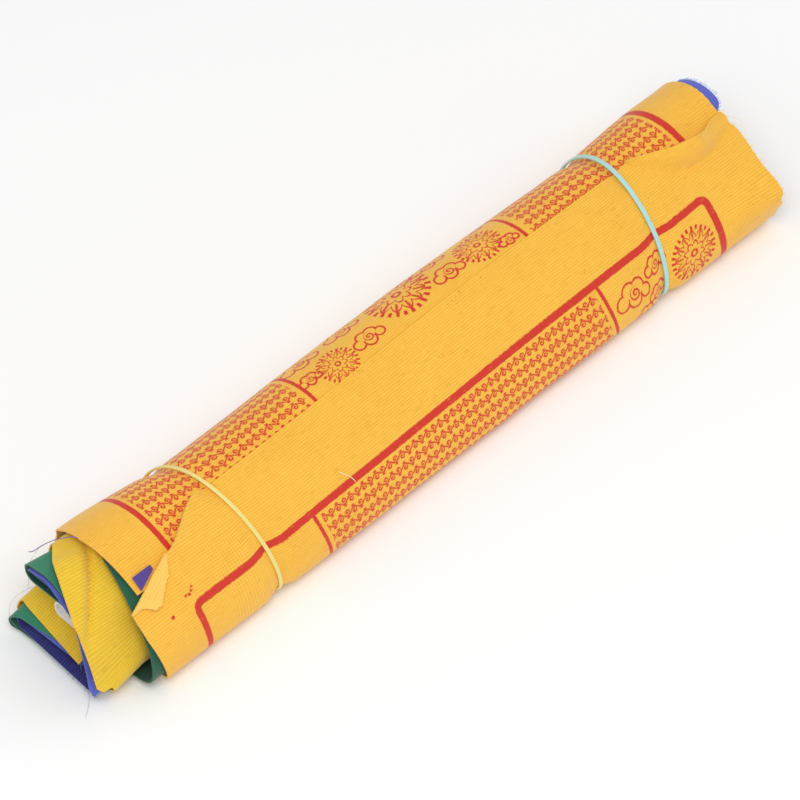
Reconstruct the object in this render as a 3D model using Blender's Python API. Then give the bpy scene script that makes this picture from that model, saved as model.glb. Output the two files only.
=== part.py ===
"""A roll of cloth prayer flags held by two rubber bands, with its free flag ends at the left."""
import math

import bpy
import numpy as np

# The roll lies along X on the surface z = 0, its free edge on the front, which is the -Y side.
MM = 0.001
FLAG_LENGTH = 250 * MM
HALF_LENGTH = FLAG_LENGTH / 2
CLOTH = 1.1 * MM
GAP = 0.35 * MM
PITCH = CLOTH + GAP

# The rolled section: a slumped oval with a steep front, a round back and a flat underside.
CREST_Y = 5.0 * MM
CREST_Z = 34.2 * MM
WAIST_Z = 6.2 * MM
WAIST_CLIMB = 0.45
FRONT_REACH = 29.9 * MM
BACK_REACH = 20.2 * MM
UNDERSIDE_DIP = 0.5 * MM
FRONT_TOP_POWER = 1.66
BACK_TOP_POWER = 2.18
UNDERSIDE_POWER = 3.0
OUTLINE_SAMPLES = 1440

# The outer flag covers one turn and an eighth, and sinks under its own free edge at the back.
OUTER_TURNS = 1.15
SECTION_STEPS = 36
EVEN_FROM = 8
FLAP_SHARES = (0.0, 0.07, 0.15, 0.27, 0.40, 0.54, 0.69, 0.84)
END_STATIONS = (125, 120.5, 116, 111, 106, 100, 94)
BAND_STATIONS = (-6.0, -3.2, -1.1, 1.1, 3.2, 6.0)
MIDDLE_REACH = 55.0 * MM
MIDDLE_STATIONS = 4
SINK_START = 0.74
SINK_END = 0.99
SECOND_LAYER_MARGIN = 0.01
SECOND_LAYER_FADE = 0.09
SLIP_LENGTH = 30.0 * MM
SLIP_COLUMNS = ("turn", "slip")
SLIP_ROWS = (
    (0.0, 0.0), (0.13, 1.8), (0.22, 2.0), (0.35, 5.0), (0.5, 8.0), (0.8, 10.0), (0.885, 6.0),
    (0.97, 5.0), (1.15, 6.8),
)
FREE_EDGE_LEFT = 5.2 * MM
FREE_EDGE_RIGHT = 1.6 * MM

# The left corner of the outer flag is folded over on a slanting line.
DOG_EAR_X = -84.0 * MM
DOG_EAR_KNEE_X = -106.0 * MM
DOG_EAR_KNEE = 9.8 * MM
DOG_EAR_FOOT = 17.6 * MM
DOG_EAR_THICKNESS = 1.2 * MM
DOG_EAR_WIDTH = 6.0 * MM
DOG_EAR_FROM_X = -100.0 * MM

# The right end of the free edge stands up: one row for each station along the edge.
MARGIN_COLUMNS = ("x", "valley", "edge_y", "edge_z")
MARGIN_ROWS = (
    (88.0, 2.0, 3.2, 33.9),
    (94.0, 8.0, -1.2, 36.4),
    (100.0, 12.0, -4.6, 36.9),
    (106.0, 14.0, -6.6, 37.6),
    (110.0, 14.2, -7.0, 37.0),
    (114.0, 13.6, -5.2, 34.2),
    (119.0, 12.0, -2.4, 32.0),
    (125.0, 9.5, -0.6, 30.6),
)
FLARE_START_X = 96.0 * MM
FLARE_REACH = 5.4 * MM
FLARE_MIDDLE = 35.5 * MM
FLARE_SPREAD = 6.0 * MM
FLARE_POWER = 1.5
FOLD_POWER = 0.5

# The crest is pressed in a little at the right end, and the whole roll is slightly uneven.
PRESS_START_X = 100.0 * MM
PRESS_DEPTH = 2.2 * MM
PRESS_Y = -1.5 * MM
PRESS_SPREAD = 6.0 * MM
UPPER_FROM_Z = 12.0 * MM
UPPER_TO_Z = 28.0 * MM
SWAY = 0.45 * MM
SWAY_LENGTH = 23.0 * MM
SWAY_DEPTH = 15.0 * MM
BEND_LENGTH = 31.0 * MM
BEND_PHASE = 1.3
BEND_FROM_Z = 2.0 * MM
BEND_TO_Z = 14.0 * MM

# Both ends are thicker than the rest, towards the top and the back.
SWELL_LEFT = 0.05
SWELL_RIGHT = 0.03
SWELL_FROM_X = 74.0 * MM
SWELL_TO_X = 112.0 * MM
FRONT_LINE_Y = CREST_Y - FRONT_REACH

# The two rubber bands: x at the middle, its lean with y and z, width and colour.
BAND_COLUMNS = ("name", "x", "lean_y", "lean_z", "width", "colour")
BAND_ROWS = (
    ("band_yellow", -81.0, -0.173, 0.0, 1.3, (0.93, 0.82, 0.30)),
    ("band_mint", 82.2, 0.034, 0.12, 1.5, (0.55, 0.80, 0.76)),
)
BAND_THICKNESS = 0.8 * MM
SECTION_CENTRE = (0.0, 16.0 * MM)
GROOVE_CENTRE = (0.0, 22.0 * MM)
PINCH = 0.06
PINCH_SPREAD = 3.6 * MM
LEAN_HOLD = 4.0 * MM
LEAN_FADE = 16.0 * MM
BAND_GAP = 0.45 * MM
BAND_STEPS = 54
BAND_PROFILE = ((-0.5, 0.5), (-0.3, 0.0), (0.3, 0.0), (0.5, 0.5), (0.3, 1.0), (-0.3, 1.0))

# The wound core inside the outer flag.
CORE_LEFT_X = -112.0 * MM
CORE_RIGHT_X = 121.5 * MM
CORE_SHOULDER_LEFT_X = -100.0 * MM
CORE_SHOULDER_RIGHT_X = 98.0 * MM
CORE_SHOULDER_CLEARANCE = 2.0 * MM
CORE_RING_COLUMNS = ("share", "step_out")
CORE_RINGS = ((0.86, 0.0), (0.80, 2.2), (0.62, 2.2), (0.56, 0.6), (0.38, 0.6), (0.32, 1.8))

# The bundle of three inner flags at the left end: the corners that the outermost one follows.
BUNDLE_COLUMNS = ("fold", "y", "z", "radius", "left_yellow", "left_green", "left_blue")
BUNDLE_ROWS = (
    ("upper tuck", -3.0, 18.4, 0.0, -124.0, -133.0, -131.5),
    ("upper back low", 18.4, 18.4, 4.6, -124.0, -133.5, -132.5),
    ("upper back high", 16.4, 27.8, 4.6, -123.5, -134.0, -134.5),
    ("crest", 5.6, 30.4, 10.0, -132.0, -134.2, -134.8),
    ("shoulder", -7.6, 24.6, 14.0, -138.5, -134.6, -136.0),
    ("front", -16.3, 13.0, 20.0, -139.5, -135.5, -138.8),
    ("front foot", -20.6, 3.1, 5.0, -135.4, -135.8, -138.6),
    ("back foot", 20.3, 3.1, 4.8, -134.0, -138.2, -136.5),
    ("lower back high", 20.3, 12.8, 4.8, -133.0, -138.0, -136.5),
    ("lower tuck", -7.0, 13.0, 0.0, -137.0, -134.0, -135.5),
)
BUNDLE_RIGHT_X = CORE_LEFT_X - GAP
BEND_STEP = math.radians(24)
CORNER_SPAN = 0.5
LONG_RUN = 0.45
LONG_RUN_PARTS = 4
SPREAD_START_X = -123.0 * MM
SPREAD_LENGTH = 15.0 * MM
SPREAD_SHARE = 0.03
SPREAD_COLUMNS = ("height", "rise")
SPREAD_ROWS = ((3.1, -2.4), (13.0, -5.0), (18.4, 1.6), (29.1, 2.6))

# The turn just inside the outer flag shows as a green rim at the left and a blue tab at the right.
RIM_GREEN_COLUMNS = ("turn", "left")
RIM_GREEN_ROWS = ((0.0, -112.0), (0.03, -119.0), (0.35, -125.5), (0.6, -125.5), (0.8, -112.0))
RIM_BLUE_RIGHT = 121.0 * MM
TAB_RIGHT_X = 128.5 * MM
TAB_START = -21.0 * MM
TAB_END = 3.0 * MM
TAB_SLOPE = 7.0 * MM
RIM_COLUMNS = 5

# The white flag is a small flat fold between the two tucks, with the same columns up to the radius.
WHITE_LEFT_X = -129.5 * MM
WHITE_ROWS = (
    ("low end", -7.5, 13.7, 0.0),
    ("low back", 8.0, 13.7, 1.65),
    ("high back", 8.0, 17.0, 1.65),
    ("high end", -7.5, 17.0, 0.0),
)

# A corner of a blue flag shows on the second turn of the outer flag, beside the dog ear.
SCRAP_X = (-117.0 * MM, -110.5 * MM)
SCRAP_START = 14.5 * MM
SCRAP_INSET = 0.2 * MM
SCRAP_COLUMNS = 5
SCRAP_LINES = 3

# Colours and finish.
GOLD = (0.97, 0.56, 0.06)
GOLD_INSIDE = (0.95, 0.62, 0.12)
YELLOW = (0.96, 0.72, 0.08)
GREEN = (0.04, 0.30, 0.17)
BLUE = (0.11, 0.15, 0.62)
WHITE = (0.93, 0.92, 0.90)
CLOTH_ROUGHNESS = 0.9
RUBBER_ROUGHNESS = 0.6
SHARP_ANGLE = math.radians(40)


def named_rows(columns, rows):
    """Each row of a table as a dictionary with the columns' names."""
    return [dict(zip(columns, row)) for row in rows]


def named_columns(columns, rows):
    """Each column of a table of millimetres as an array of metres."""
    return {name: np.array([row[i] for row in rows]) * MM for i, name in enumerate(columns)}


def smooth(value, low, high):
    """A soft step that is 0 at low and 1 at high."""
    t = np.clip((np.asarray(value, float) - low) / (high - low), 0, 1)
    return t * t * (3 - 2 * t)


def outline_at(angle, inset):
    """The section's y and z at an angle from the crest towards the front, drawn in by the inset."""
    across, up = np.sin(angle), np.cos(angle)
    waist = WAIST_Z + WAIST_CLIMB * inset
    reach = np.where(across > 0, FRONT_REACH, BACK_REACH) - inset
    rise = np.where(up > 0, CREST_Z - inset - waist, waist - inset + UNDERSIDE_DIP)
    top_power = np.where(across > 0, FRONT_TOP_POWER, BACK_TOP_POWER)
    power = 2 / np.where(up > 0, top_power, UNDERSIDE_POWER)
    y = CREST_Y - np.sign(across) * reach * np.abs(across) ** power
    z = waist + np.sign(up) * rise * np.abs(up) ** power
    return y, np.maximum(z, inset)


def measure_outline():
    """The angle of each sample round the section and its distance along the section."""
    angle = np.linspace(0, 2 * math.pi, OUTLINE_SAMPLES + 1)
    y, z = outline_at(angle, 0.0)
    steps = np.hypot(np.diff(y), np.diff(z))
    return angle, np.concatenate([[0], np.cumsum(steps)])


ANGLES, ARCS = measure_outline()
GIRTH = ARCS[-1]
BANDS = named_rows(BAND_COLUMNS, BAND_ROWS)


def section(arc, inset):
    """The section's y and z at a distance from the crest along the outer outline."""
    return outline_at(np.interp(np.mod(arc, GIRTH), ARCS, ANGLES), inset)


def outer_inset(arc):
    """How deep the outer flag lies: on the outline for most of a turn, then under its own edge."""
    return PITCH * smooth(arc / GIRTH, SINK_START, SINK_END)


def inner_inset(arc):
    """How deep the next turn lies, inside one or two layers of the outer flag."""
    share = np.mod(arc, GIRTH) / GIRTH
    covered = OUTER_TURNS - 1 + SECOND_LAYER_MARGIN
    leaves = 1 - smooth(share, covered, covered + SECOND_LAYER_FADE)
    returns = smooth(share, SINK_START, SINK_END)
    return PITCH * (1 + np.maximum(leaves, returns))


def band_lean(band, y, z):
    """How far a leaning band lies from its middle at a point of the section, along X."""
    return band["lean_y"] * (y - GROOVE_CENTRE[0]) + band["lean_z"] * (z - GROOVE_CENTRE[1])


def shaped(x, y, z):
    """Bends ideal points to the uneven roll: the bands' grooves, the pressed end and a slow sway."""
    for band in BANDS:
        away = x - band["x"] * MM
        lean = band_lean(band, y, z) * (1 - smooth(np.abs(away), LEAN_HOLD, LEAN_FADE))
        scale = 1 - PINCH * np.exp(-((away / PINCH_SPREAD) ** 2))
        y = GROOVE_CENTRE[0] + scale * (y - GROOVE_CENTRE[0])
        z = GROOVE_CENTRE[1] + scale * (z - GROOVE_CENTRE[1])
        x = x + lean
    swell = SWELL_LEFT * smooth(-x, SWELL_FROM_X, SWELL_TO_X)
    swell = swell + SWELL_RIGHT * smooth(x, SWELL_FROM_X, SWELL_TO_X)
    y = y + swell * (y - FRONT_LINE_Y)
    z = z * (1 + swell)
    high = smooth(z, UPPER_FROM_Z, UPPER_TO_Z)
    press = PRESS_DEPTH * smooth(x, PRESS_START_X, HALF_LENGTH)
    z = z - press * high * np.exp(-(((y - PRESS_Y) / PRESS_SPREAD) ** 2))
    z = z + high * SWAY * np.sin(x / SWAY_LENGTH + y / SWAY_DEPTH)
    y = y + SWAY * smooth(z, BEND_FROM_Z, BEND_TO_Z) * np.sin(x / BEND_LENGTH + BEND_PHASE)
    return np.stack(np.broadcast_arrays(x, y, z), axis=-1)


def stations():
    """The columns along the flag, closer together at both ends and at the bands."""
    ends = np.array(END_STATIONS) * MM
    bands = [(np.array(BAND_STATIONS) + band["x"]) * MM for band in BANDS]
    middle = np.linspace(-MIDDLE_REACH, MIDDLE_REACH, MIDDLE_STATIONS)
    return np.sort(np.concatenate([-ends, ends, middle] + bands))


def free_edge(x):
    """How far down the front the free edge, or the fold of the dog ear, lies at each station."""
    straight = np.interp(x, [-HALF_LENGTH, HALF_LENGTH], [FREE_EDGE_LEFT, FREE_EDGE_RIGHT])
    knee = DOG_EAR_KNEE * smooth(-x, -DOG_EAR_X, -DOG_EAR_KNEE_X)
    foot = (DOG_EAR_FOOT - DOG_EAR_KNEE) * np.interp(-x, [-DOG_EAR_KNEE_X, HALF_LENGTH], [0, 1])
    return straight + knee + foot


def add_solid(name, outer, inner, colour):
    """A closed sheet between two grids of points: both faces and the rim around them."""
    rows, columns = outer.shape[:2]
    count = rows * columns
    points = np.concatenate([outer.reshape(-1, 3), inner.reshape(-1, 3)])
    index = np.arange(count).reshape(rows, columns)
    a, b = index[:-1, :-1].ravel(), index[1:, :-1].ravel()
    c, d = index[1:, 1:].ravel(), index[:-1, 1:].ravel()
    faces = [tuple(map(int, f)) for f in np.stack([a, b, c, d], axis=1)]
    faces += [tuple(map(int, f)) for f in np.stack([d, c, b, a], axis=1) + count]
    rim = np.concatenate([index[0, :], index[1:, -1], index[-1, -2::-1], index[-2:0:-1, 0]])
    following = np.roll(rim, -1)
    for p, q in zip(rim, following):
        faces.append((int(p), int(q), int(q) + count, int(p) + count))
    return add_mesh(name, points, faces, colour, CLOTH_ROUGHNESS)


def add_mesh(name, points, faces, colour, roughness):
    """A mesh object with its faces turned outwards and a material of its own."""
    mesh = bpy.data.meshes.new(name)
    mesh.from_pydata([tuple(map(float, p)) for p in points], [], faces)
    mesh.update()
    if signed_volume(mesh) < 0:
        mesh.flip_normals()
    mesh.shade_smooth()
    mesh.set_sharp_from_angle(angle=SHARP_ANGLE)
    material = bpy.data.materials.new(name)
    material.use_nodes = True
    shader = material.node_tree.nodes["Principled BSDF"]
    shader.inputs["Base Color"].default_value = (*colour, 1)
    shader.inputs["Roughness"].default_value = roughness
    shader.inputs["Metallic"].default_value = 0
    mesh.materials.append(material)
    piece = bpy.data.objects.new(name, mesh)
    bpy.context.scene.collection.objects.link(piece)
    return piece


def signed_volume(mesh):
    """Six times the volume inside the faces, negative where they point inwards."""
    mesh.calc_loop_triangles()
    total = 0.0
    for triangle in mesh.loop_triangles:
        a, b, c = (mesh.vertices[i].co for i in triangle.vertices)
        total += a.dot(b.cross(c))
    return total


def outer_flag():
    """The golden flag: one turn and more round the roll, with both of its turned corners."""
    x = stations()
    start = free_edge(x)[None, :]
    evenly = np.arange(EVEN_FROM, round(SECTION_STEPS * OUTER_TURNS) + 1) * GIRTH / SECTION_STEPS
    eased = start + np.array(FLAP_SHARES)[:, None] * (evenly[0] - start)
    arc = np.concatenate([eased, np.repeat(evenly[:, None], len(x), axis=1)])
    along = arc - start
    slips = named_columns(SLIP_COLUMNS, SLIP_ROWS)
    slip = np.interp(arc / GIRTH, slips["turn"], slips["slip"]) * MM
    grid_x = x[None, :] + slip * smooth(-x, HALF_LENGTH - SLIP_LENGTH, HALF_LENGTH)[None, :]
    inset = outer_inset(arc)
    oy, oz = section(arc, inset)
    iy, iz = section(arc, inset + CLOTH)
    outer, inner = shaped(grid_x, oy, oz), shaped(grid_x, iy, iz)
    # The dog ear doubles the cloth beside its fold.
    ear = smooth(-x, -DOG_EAR_FROM_X, -DOG_EAR_KNEE_X)[None, :] * (along < DOG_EAR_WIDTH)
    lift = (outer - inner) / CLOTH * DOG_EAR_THICKNESS
    outer = outer + lift * ear[..., None]
    # The front of the flap stands away from the roll at its right end.
    flare = FLARE_REACH * smooth(x, FLARE_START_X, HALF_LENGTH) ** FLARE_POWER
    bump = np.exp(-(((arc - FLARE_MIDDLE) / FLARE_SPREAD) ** 2))
    push = (outer - inner) / CLOTH * (flare[None, :] * bump)[..., None]
    outer, inner = outer + push, inner + push
    raise_margin(x, outer, inner, along)
    return add_solid("outer_flag", outer, inner, GOLD)


def raise_margin(x, outer, inner, along):
    """Stands the free edge up from its valley fold at the right end of the flap."""
    table = named_columns(MARGIN_COLUMNS, MARGIN_ROWS)
    for column in np.flatnonzero(x > table["x"][0]):
        at = x[column]
        valley = np.interp(at, table["x"], table["valley"])
        edge_y = np.interp(at, table["x"], table["edge_y"])
        edge_z = np.interp(at, table["x"], table["edge_z"])
        down = along[:, column]
        row = int(np.argmin(np.abs(down - valley)))
        if row == 0:
            continue
        thickness = outer[row, column] - inner[row, column]
        direction = np.array([at, edge_y, edge_z]) - outer[row, column]
        face = np.array([0.0, -direction[2], direction[1]])
        face *= CLOTH / np.linalg.norm(face)
        for k in range(row):
            share = 1 - down[k] / down[row]
            turned = share ** FOLD_POWER
            outer[k, column] = outer[row, column] + share * direction
            inner[k, column] = outer[k, column] - (1 - turned) * thickness - turned * face


def rim_turn(name, colour, first_step, last_step, near_x, far_x):
    """One turn just inside the outer flag, from a shoulder of the core out to its own cut edge."""
    arc = np.arange(first_step, last_step + 1) * GIRTH / SECTION_STEPS
    inset = inner_inset(arc)
    share = np.linspace(0, 1, RIM_COLUMNS)[None, :]
    x = near_x + share * (far_x(arc)[:, None] - near_x)
    oy, oz = section(arc, inset)
    iy, iz = section(arc, inset + CLOTH)
    outer = shaped(x, oy[:, None], oz[:, None])
    inner = shaped(x, iy[:, None], iz[:, None])
    return add_solid(name, outer, inner, colour)


def green_rim_edge(arc):
    """The green turn's left edge, which slants outwards towards the foot of the front."""
    rows = named_rows(RIM_GREEN_COLUMNS, RIM_GREEN_ROWS)
    turns, edges = [row["turn"] for row in rows], [row["left"] * MM for row in rows]
    return np.interp(np.mod(arc, GIRTH) / GIRTH, turns, edges)


def blue_rim_edge(arc):
    """The blue turn's right edge, with the tab that reaches past the outer flag at the back."""
    tab = smooth(arc, GIRTH + TAB_START - TAB_SLOPE, GIRTH + TAB_START)
    tab = tab * (1 - smooth(arc, GIRTH + TAB_END, GIRTH + TAB_END + TAB_SLOPE))
    return RIM_BLUE_RIGHT + tab * (TAB_RIGHT_X - RIM_BLUE_RIGHT)


def wound_core():
    """The rest of the flags, wound tight: one solid with stepped turns at both of its ends."""
    arc = np.linspace(0, GIRTH, SECTION_STEPS, endpoint=False)
    full = inner_inset(arc)
    small = full + PITCH
    first = CORE_SHOULDER_LEFT_X + CORE_SHOULDER_CLEARANCE
    last = CORE_SHOULDER_RIGHT_X - CORE_SHOULDER_CLEARANCE
    steps = named_rows(CORE_RING_COLUMNS, CORE_RINGS)
    rings = [(CORE_LEFT_X + step["step_out"] * MM, small, step["share"]) for step in reversed(steps)]
    rings += [(x, small, 1.0) for x in (CORE_LEFT_X, CORE_SHOULDER_LEFT_X)]
    rings += [(CORE_SHOULDER_LEFT_X, full, 1.0)]
    rings += [(float(x), full, 1.0) for x in stations() if first < x < last]
    rings += [(CORE_SHOULDER_RIGHT_X, full, 1.0)]
    rings += [(x, small, 1.0) for x in (CORE_SHOULDER_RIGHT_X, CORE_RIGHT_X)]
    rings += [(CORE_RIGHT_X - step["step_out"] * MM, small, step["share"]) for step in steps]
    grids = []
    for x, inset, share in rings:
        y, z = section(arc, inset)
        y = SECTION_CENTRE[0] + share * (y - SECTION_CENTRE[0])
        z = SECTION_CENTRE[1] + share * (z - SECTION_CENTRE[1])
        grids.append(shaped(np.full(SECTION_STEPS, x), y, z))
    points = np.concatenate(grids)
    faces = []
    for k in range(len(rings) - 1):
        for i in range(SECTION_STEPS):
            j = (i + 1) % SECTION_STEPS
            low, high = k * SECTION_STEPS, (k + 1) * SECTION_STEPS
            faces.append((low + i, low + j, high + j, high + i))
    last = (len(rings) - 1) * SECTION_STEPS
    faces.append(tuple(range(SECTION_STEPS - 1, -1, -1)))
    faces.append(tuple(range(last, last + SECTION_STEPS)))
    return add_mesh("wound_core", points, faces, GOLD_INSIDE, CLOTH_ROUGHNESS)


def bent_path(rows, offset):
    """A path along straight runs and round corners, drawn in to its left by an offset."""
    corners = np.array([[row["y"], row["z"]] for row in rows]) * MM
    radii = np.array([row["radius"] for row in rows]) * MM
    points, place = [], []
    for k in range(len(rows)):
        ahead = corners[min(k + 1, len(rows) - 1)] - corners[min(k, len(rows) - 2)]
        behind = corners[max(k, 1)] - corners[max(k - 1, 0)]
        ahead, behind = ahead / np.linalg.norm(ahead), behind / np.linalg.norm(behind)
        if radii[k] == 0:
            left = np.array([-ahead[1], ahead[0]])
            points.append(corners[k] + offset * left)
            place.append(float(k))
            continue
        turn = math.atan2(behind[0] * ahead[1] - behind[1] * ahead[0], behind @ ahead)
        back = radii[k] * math.tan(turn / 2)
        left = np.array([-behind[1], behind[0]])
        centre = corners[k] - back * behind + radii[k] * left
        steps = max(2, math.ceil(abs(turn) / BEND_STEP))
        for step in range(steps + 1):
            angle = turn * step / steps
            c, s = math.cos(angle), math.sin(angle)
            out = -(radii[k] - offset) * left
            points.append(centre + np.array([c * out[0] - s * out[1], s * out[0] + c * out[1]]))
            place.append(k + CORNER_SPAN * (step / steps - 0.5))
    return filled_in(np.array(points), np.array(place))


def filled_in(points, place):
    """The path again, with the same extra points on each long straight run."""
    out, where = [], []
    for k in range(len(points) - 1):
        parts = LONG_RUN_PARTS if place[k + 1] - place[k] > LONG_RUN else 1
        for step in range(parts):
            share = step / parts
            out.append(points[k] * (1 - share) + points[k + 1] * share)
            where.append(place[k] * (1 - share) + place[k + 1] * share)
    out.append(points[-1])
    where.append(place[-1])
    return np.array(out), np.array(where)


def spread_out(x, y, z):
    """Parts the bundle's two lobes evenly where it comes out of the roll."""
    share = np.maximum(0, SPREAD_START_X - x) / SPREAD_LENGTH
    table = named_columns(SPREAD_COLUMNS, SPREAD_ROWS)
    y = (1 + SPREAD_SHARE * share) * y
    z = z + np.interp(z, table["height"], table["rise"]) * share
    return shaped(x, y, z)


def bundle_columns(left):
    """The columns of a bundle piece: up to where it comes out of the roll, and on to its left edge."""
    x = np.empty((len(left), 4))
    x[:, 0] = BUNDLE_RIGHT_X
    x[:, 1] = SPREAD_START_X
    x[:, 2] = (SPREAD_START_X + left) / 2
    x[:, 3] = left
    return x


def bundle_flag(name, layer, left_column, colour):
    """One flag of the inner bundle, with its own slanting left edge."""
    depth = layer * PITCH
    rows = named_rows(BUNDLE_COLUMNS, BUNDLE_ROWS)
    outer_path, place = bent_path(rows, depth)
    inner_path, _ = bent_path(rows, depth + CLOTH)
    left = np.interp(place, np.arange(len(rows)), [row[left_column] * MM for row in rows])
    x = bundle_columns(left)
    outer = spread_out(x, outer_path[:, :1], outer_path[:, 1:])
    inner = spread_out(x, inner_path[:, :1], inner_path[:, 1:])
    return add_solid(name, outer, inner, colour)


def white_flag():
    """The small white fold between the two tucks: two layers joined by a tight bend at the back."""
    rows = named_rows(BUNDLE_COLUMNS[:4], WHITE_ROWS)
    outer_path, _ = bent_path(rows, 0.0)
    inner_path, _ = bent_path(rows, CLOTH)
    x = bundle_columns(np.full(len(outer_path), WHITE_LEFT_X))
    outer = spread_out(x, outer_path[:, :1], outer_path[:, 1:])
    inner = spread_out(x, inner_path[:, :1], inner_path[:, 1:])
    return add_solid("white_flag", outer, inner, WHITE)


def blue_scrap():
    """The corner of a blue flag between the second turn and the fold of the dog ear."""
    x = np.linspace(*SCRAP_X, SCRAP_COLUMNS)[None, :]
    share = np.linspace(0, 1, SCRAP_LINES)[:, None]
    last = free_edge(x) - 2 * GAP
    arc = SCRAP_START + share * (last - SCRAP_START)
    grid_x = np.broadcast_to(x, arc.shape)
    oy, oz = section(arc, SCRAP_INSET)
    iy, iz = section(arc, SCRAP_INSET + CLOTH)
    return add_solid("blue_scrap", shaped(grid_x, oy, oz), shaped(grid_x, iy, iz), BLUE)


def rubber_band(band):
    """A rubber band in its groove round the roll: a rounded strip swept along the section."""
    arc = np.linspace(0, GIRTH, BAND_STEPS, endpoint=False)
    ring = []
    for side, out in BAND_PROFILE:
        y, z = section(arc, 0.0)
        at = shaped((band["x"] + side * band["width"]) * MM, y, z)
        before, after = np.roll(at, 1, axis=0), np.roll(at, -1, axis=0)
        tangent = after - before
        normal = np.stack([np.zeros(BAND_STEPS), tangent[:, 2], -tangent[:, 1]], axis=1)
        normal /= np.linalg.norm(normal, axis=1)[:, None]
        ring.append(at + normal * (BAND_GAP + out * BAND_THICKNESS))
    points = np.concatenate(ring)
    faces = []
    sides = len(ring)
    for k in range(sides):
        low, high = k * BAND_STEPS, (k + 1) % sides * BAND_STEPS
        for i in range(BAND_STEPS):
            j = (i + 1) % BAND_STEPS
            faces.append((low + i, low + j, high + j, high + i))
    return add_mesh(band["name"], points, faces, band["colour"], RUBBER_ROUGHNESS)


def stand_on_origin():
    """Moves every point so that the middle of the whole roll's underside is the origin."""
    pieces = [piece for piece in bpy.data.objects if piece.type == "MESH"]
    corners = np.array([tuple(v.co) for piece in pieces for v in piece.data.vertices])
    low, high = corners.min(axis=0), corners.max(axis=0)
    shift = -np.array([(low[0] + high[0]) / 2, (low[1] + high[1]) / 2, low[2]])
    for piece in pieces:
        for vertex in piece.data.vertices:
            vertex.co = tuple(np.array(vertex.co) + shift)


def build():
    """Clears the scene and makes every piece."""
    for piece in list(bpy.data.objects):
        bpy.data.objects.remove(piece, do_unlink=True)
    outer_flag()
    wound_core()
    rim_turn("green_turn", GREEN, 0, SECTION_STEPS - 1, CORE_SHOULDER_LEFT_X - GAP, green_rim_edge)
    rim_turn("blue_turn", BLUE, 3, SECTION_STEPS + 2, CORE_SHOULDER_RIGHT_X + GAP, blue_rim_edge)
    bundle_flag("yellow_flag", 0, "left_yellow", YELLOW)
    bundle_flag("green_flag", 1, "left_green", GREEN)
    bundle_flag("blue_flag", 2, "left_blue", BLUE)
    white_flag()
    blue_scrap()
    for band in BANDS:
        rubber_band(band)
    stand_on_origin()


build()
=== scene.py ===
import math
from functools import partialmethod

import bpy
import numpy as np
from mathutils import Matrix, Vector


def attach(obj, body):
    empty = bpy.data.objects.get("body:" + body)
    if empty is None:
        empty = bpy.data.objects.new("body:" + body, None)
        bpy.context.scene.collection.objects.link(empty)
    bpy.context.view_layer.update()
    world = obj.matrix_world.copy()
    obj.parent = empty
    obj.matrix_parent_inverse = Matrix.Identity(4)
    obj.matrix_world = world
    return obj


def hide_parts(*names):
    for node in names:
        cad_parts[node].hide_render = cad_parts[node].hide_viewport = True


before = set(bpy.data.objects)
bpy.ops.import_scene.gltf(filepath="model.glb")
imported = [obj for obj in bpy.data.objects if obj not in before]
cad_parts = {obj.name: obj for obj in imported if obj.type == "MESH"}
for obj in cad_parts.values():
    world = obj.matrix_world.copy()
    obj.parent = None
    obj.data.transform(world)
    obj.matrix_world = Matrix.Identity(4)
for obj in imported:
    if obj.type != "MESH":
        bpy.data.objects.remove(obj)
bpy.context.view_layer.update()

# A roll of printed cloth flags lies along X, its free edge on the front (-Y) and its loose ends at -X.
mm = 0.001
dice = np.random.default_rng(11)

# The roll's own sizes, as in its solids, in millimetres unless the name says otherwise.
roll = {
    "halfLength": 125.0, "pitch": 1.45, "cloth": 0.5,
    "crestY": 5.0, "crestZ": 34.2, "waistZ": 6.2, "waistClimb": 0.45,
    "frontReach": 29.9, "backReach": 20.2, "undersideDip": 0.5,
    "frontTopPower": 1.66, "backTopPower": 2.18, "undersidePower": 3.0,
    "turns": 1.15, "sinkStart": 0.74, "sinkEnd": 0.99, "coverMargin": 0.01, "coverFade": 0.09,
    "stations": 36, "centre": (0.0, 22.0), "shift": (5.5, 0.274, 0.0),
}
ends = {
    "swellLeft": 0.05, "swellRight": 0.03, "swellFrom": 74.0, "swellTo": 112.0,
    "pressFrom": 100.0, "pressDepth": 2.2, "pressY": -1.5, "pressSpread": 6.0,
    "upperFrom": 12.0, "upperTo": 28.0, "sway": 0.45, "swayLength": 23.0, "swayDepth": 15.0,
    "bendLength": 31.0, "bendPhase": 1.3, "bendFrom": 2.0, "bendTo": 14.0,
}
bands = [
    {"name": "rubber_band_yellow", "node": "band_yellow", "slot": "yellow_rubber", "x": -81.0,
     "leanY": -0.173, "leanZ": 0.0, "width": 1.25, "thickness": 0.75, "colour": (0.93, 0.80, 0.26)},
    {"name": "rubber_band_mint", "node": "band_mint", "slot": "mint_rubber", "x": 82.2,
     "leanY": 0.034, "leanZ": 0.12, "width": 1.5, "thickness": 0.8, "colour": (0.50, 0.78, 0.72)},
]
groove = {"pinch": 0.06, "spread": 3.6, "leanHold": 4.0, "leanFade": 16.0}


# A soft step, 3t^2 - 2t^3, from 0 at low to 1 at high.
def smooth(value, low, high):
    t = np.clip((np.asarray(value, float) - low) / (high - low), 0, 1)
    return t * t * (3 - 2 * t)


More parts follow.
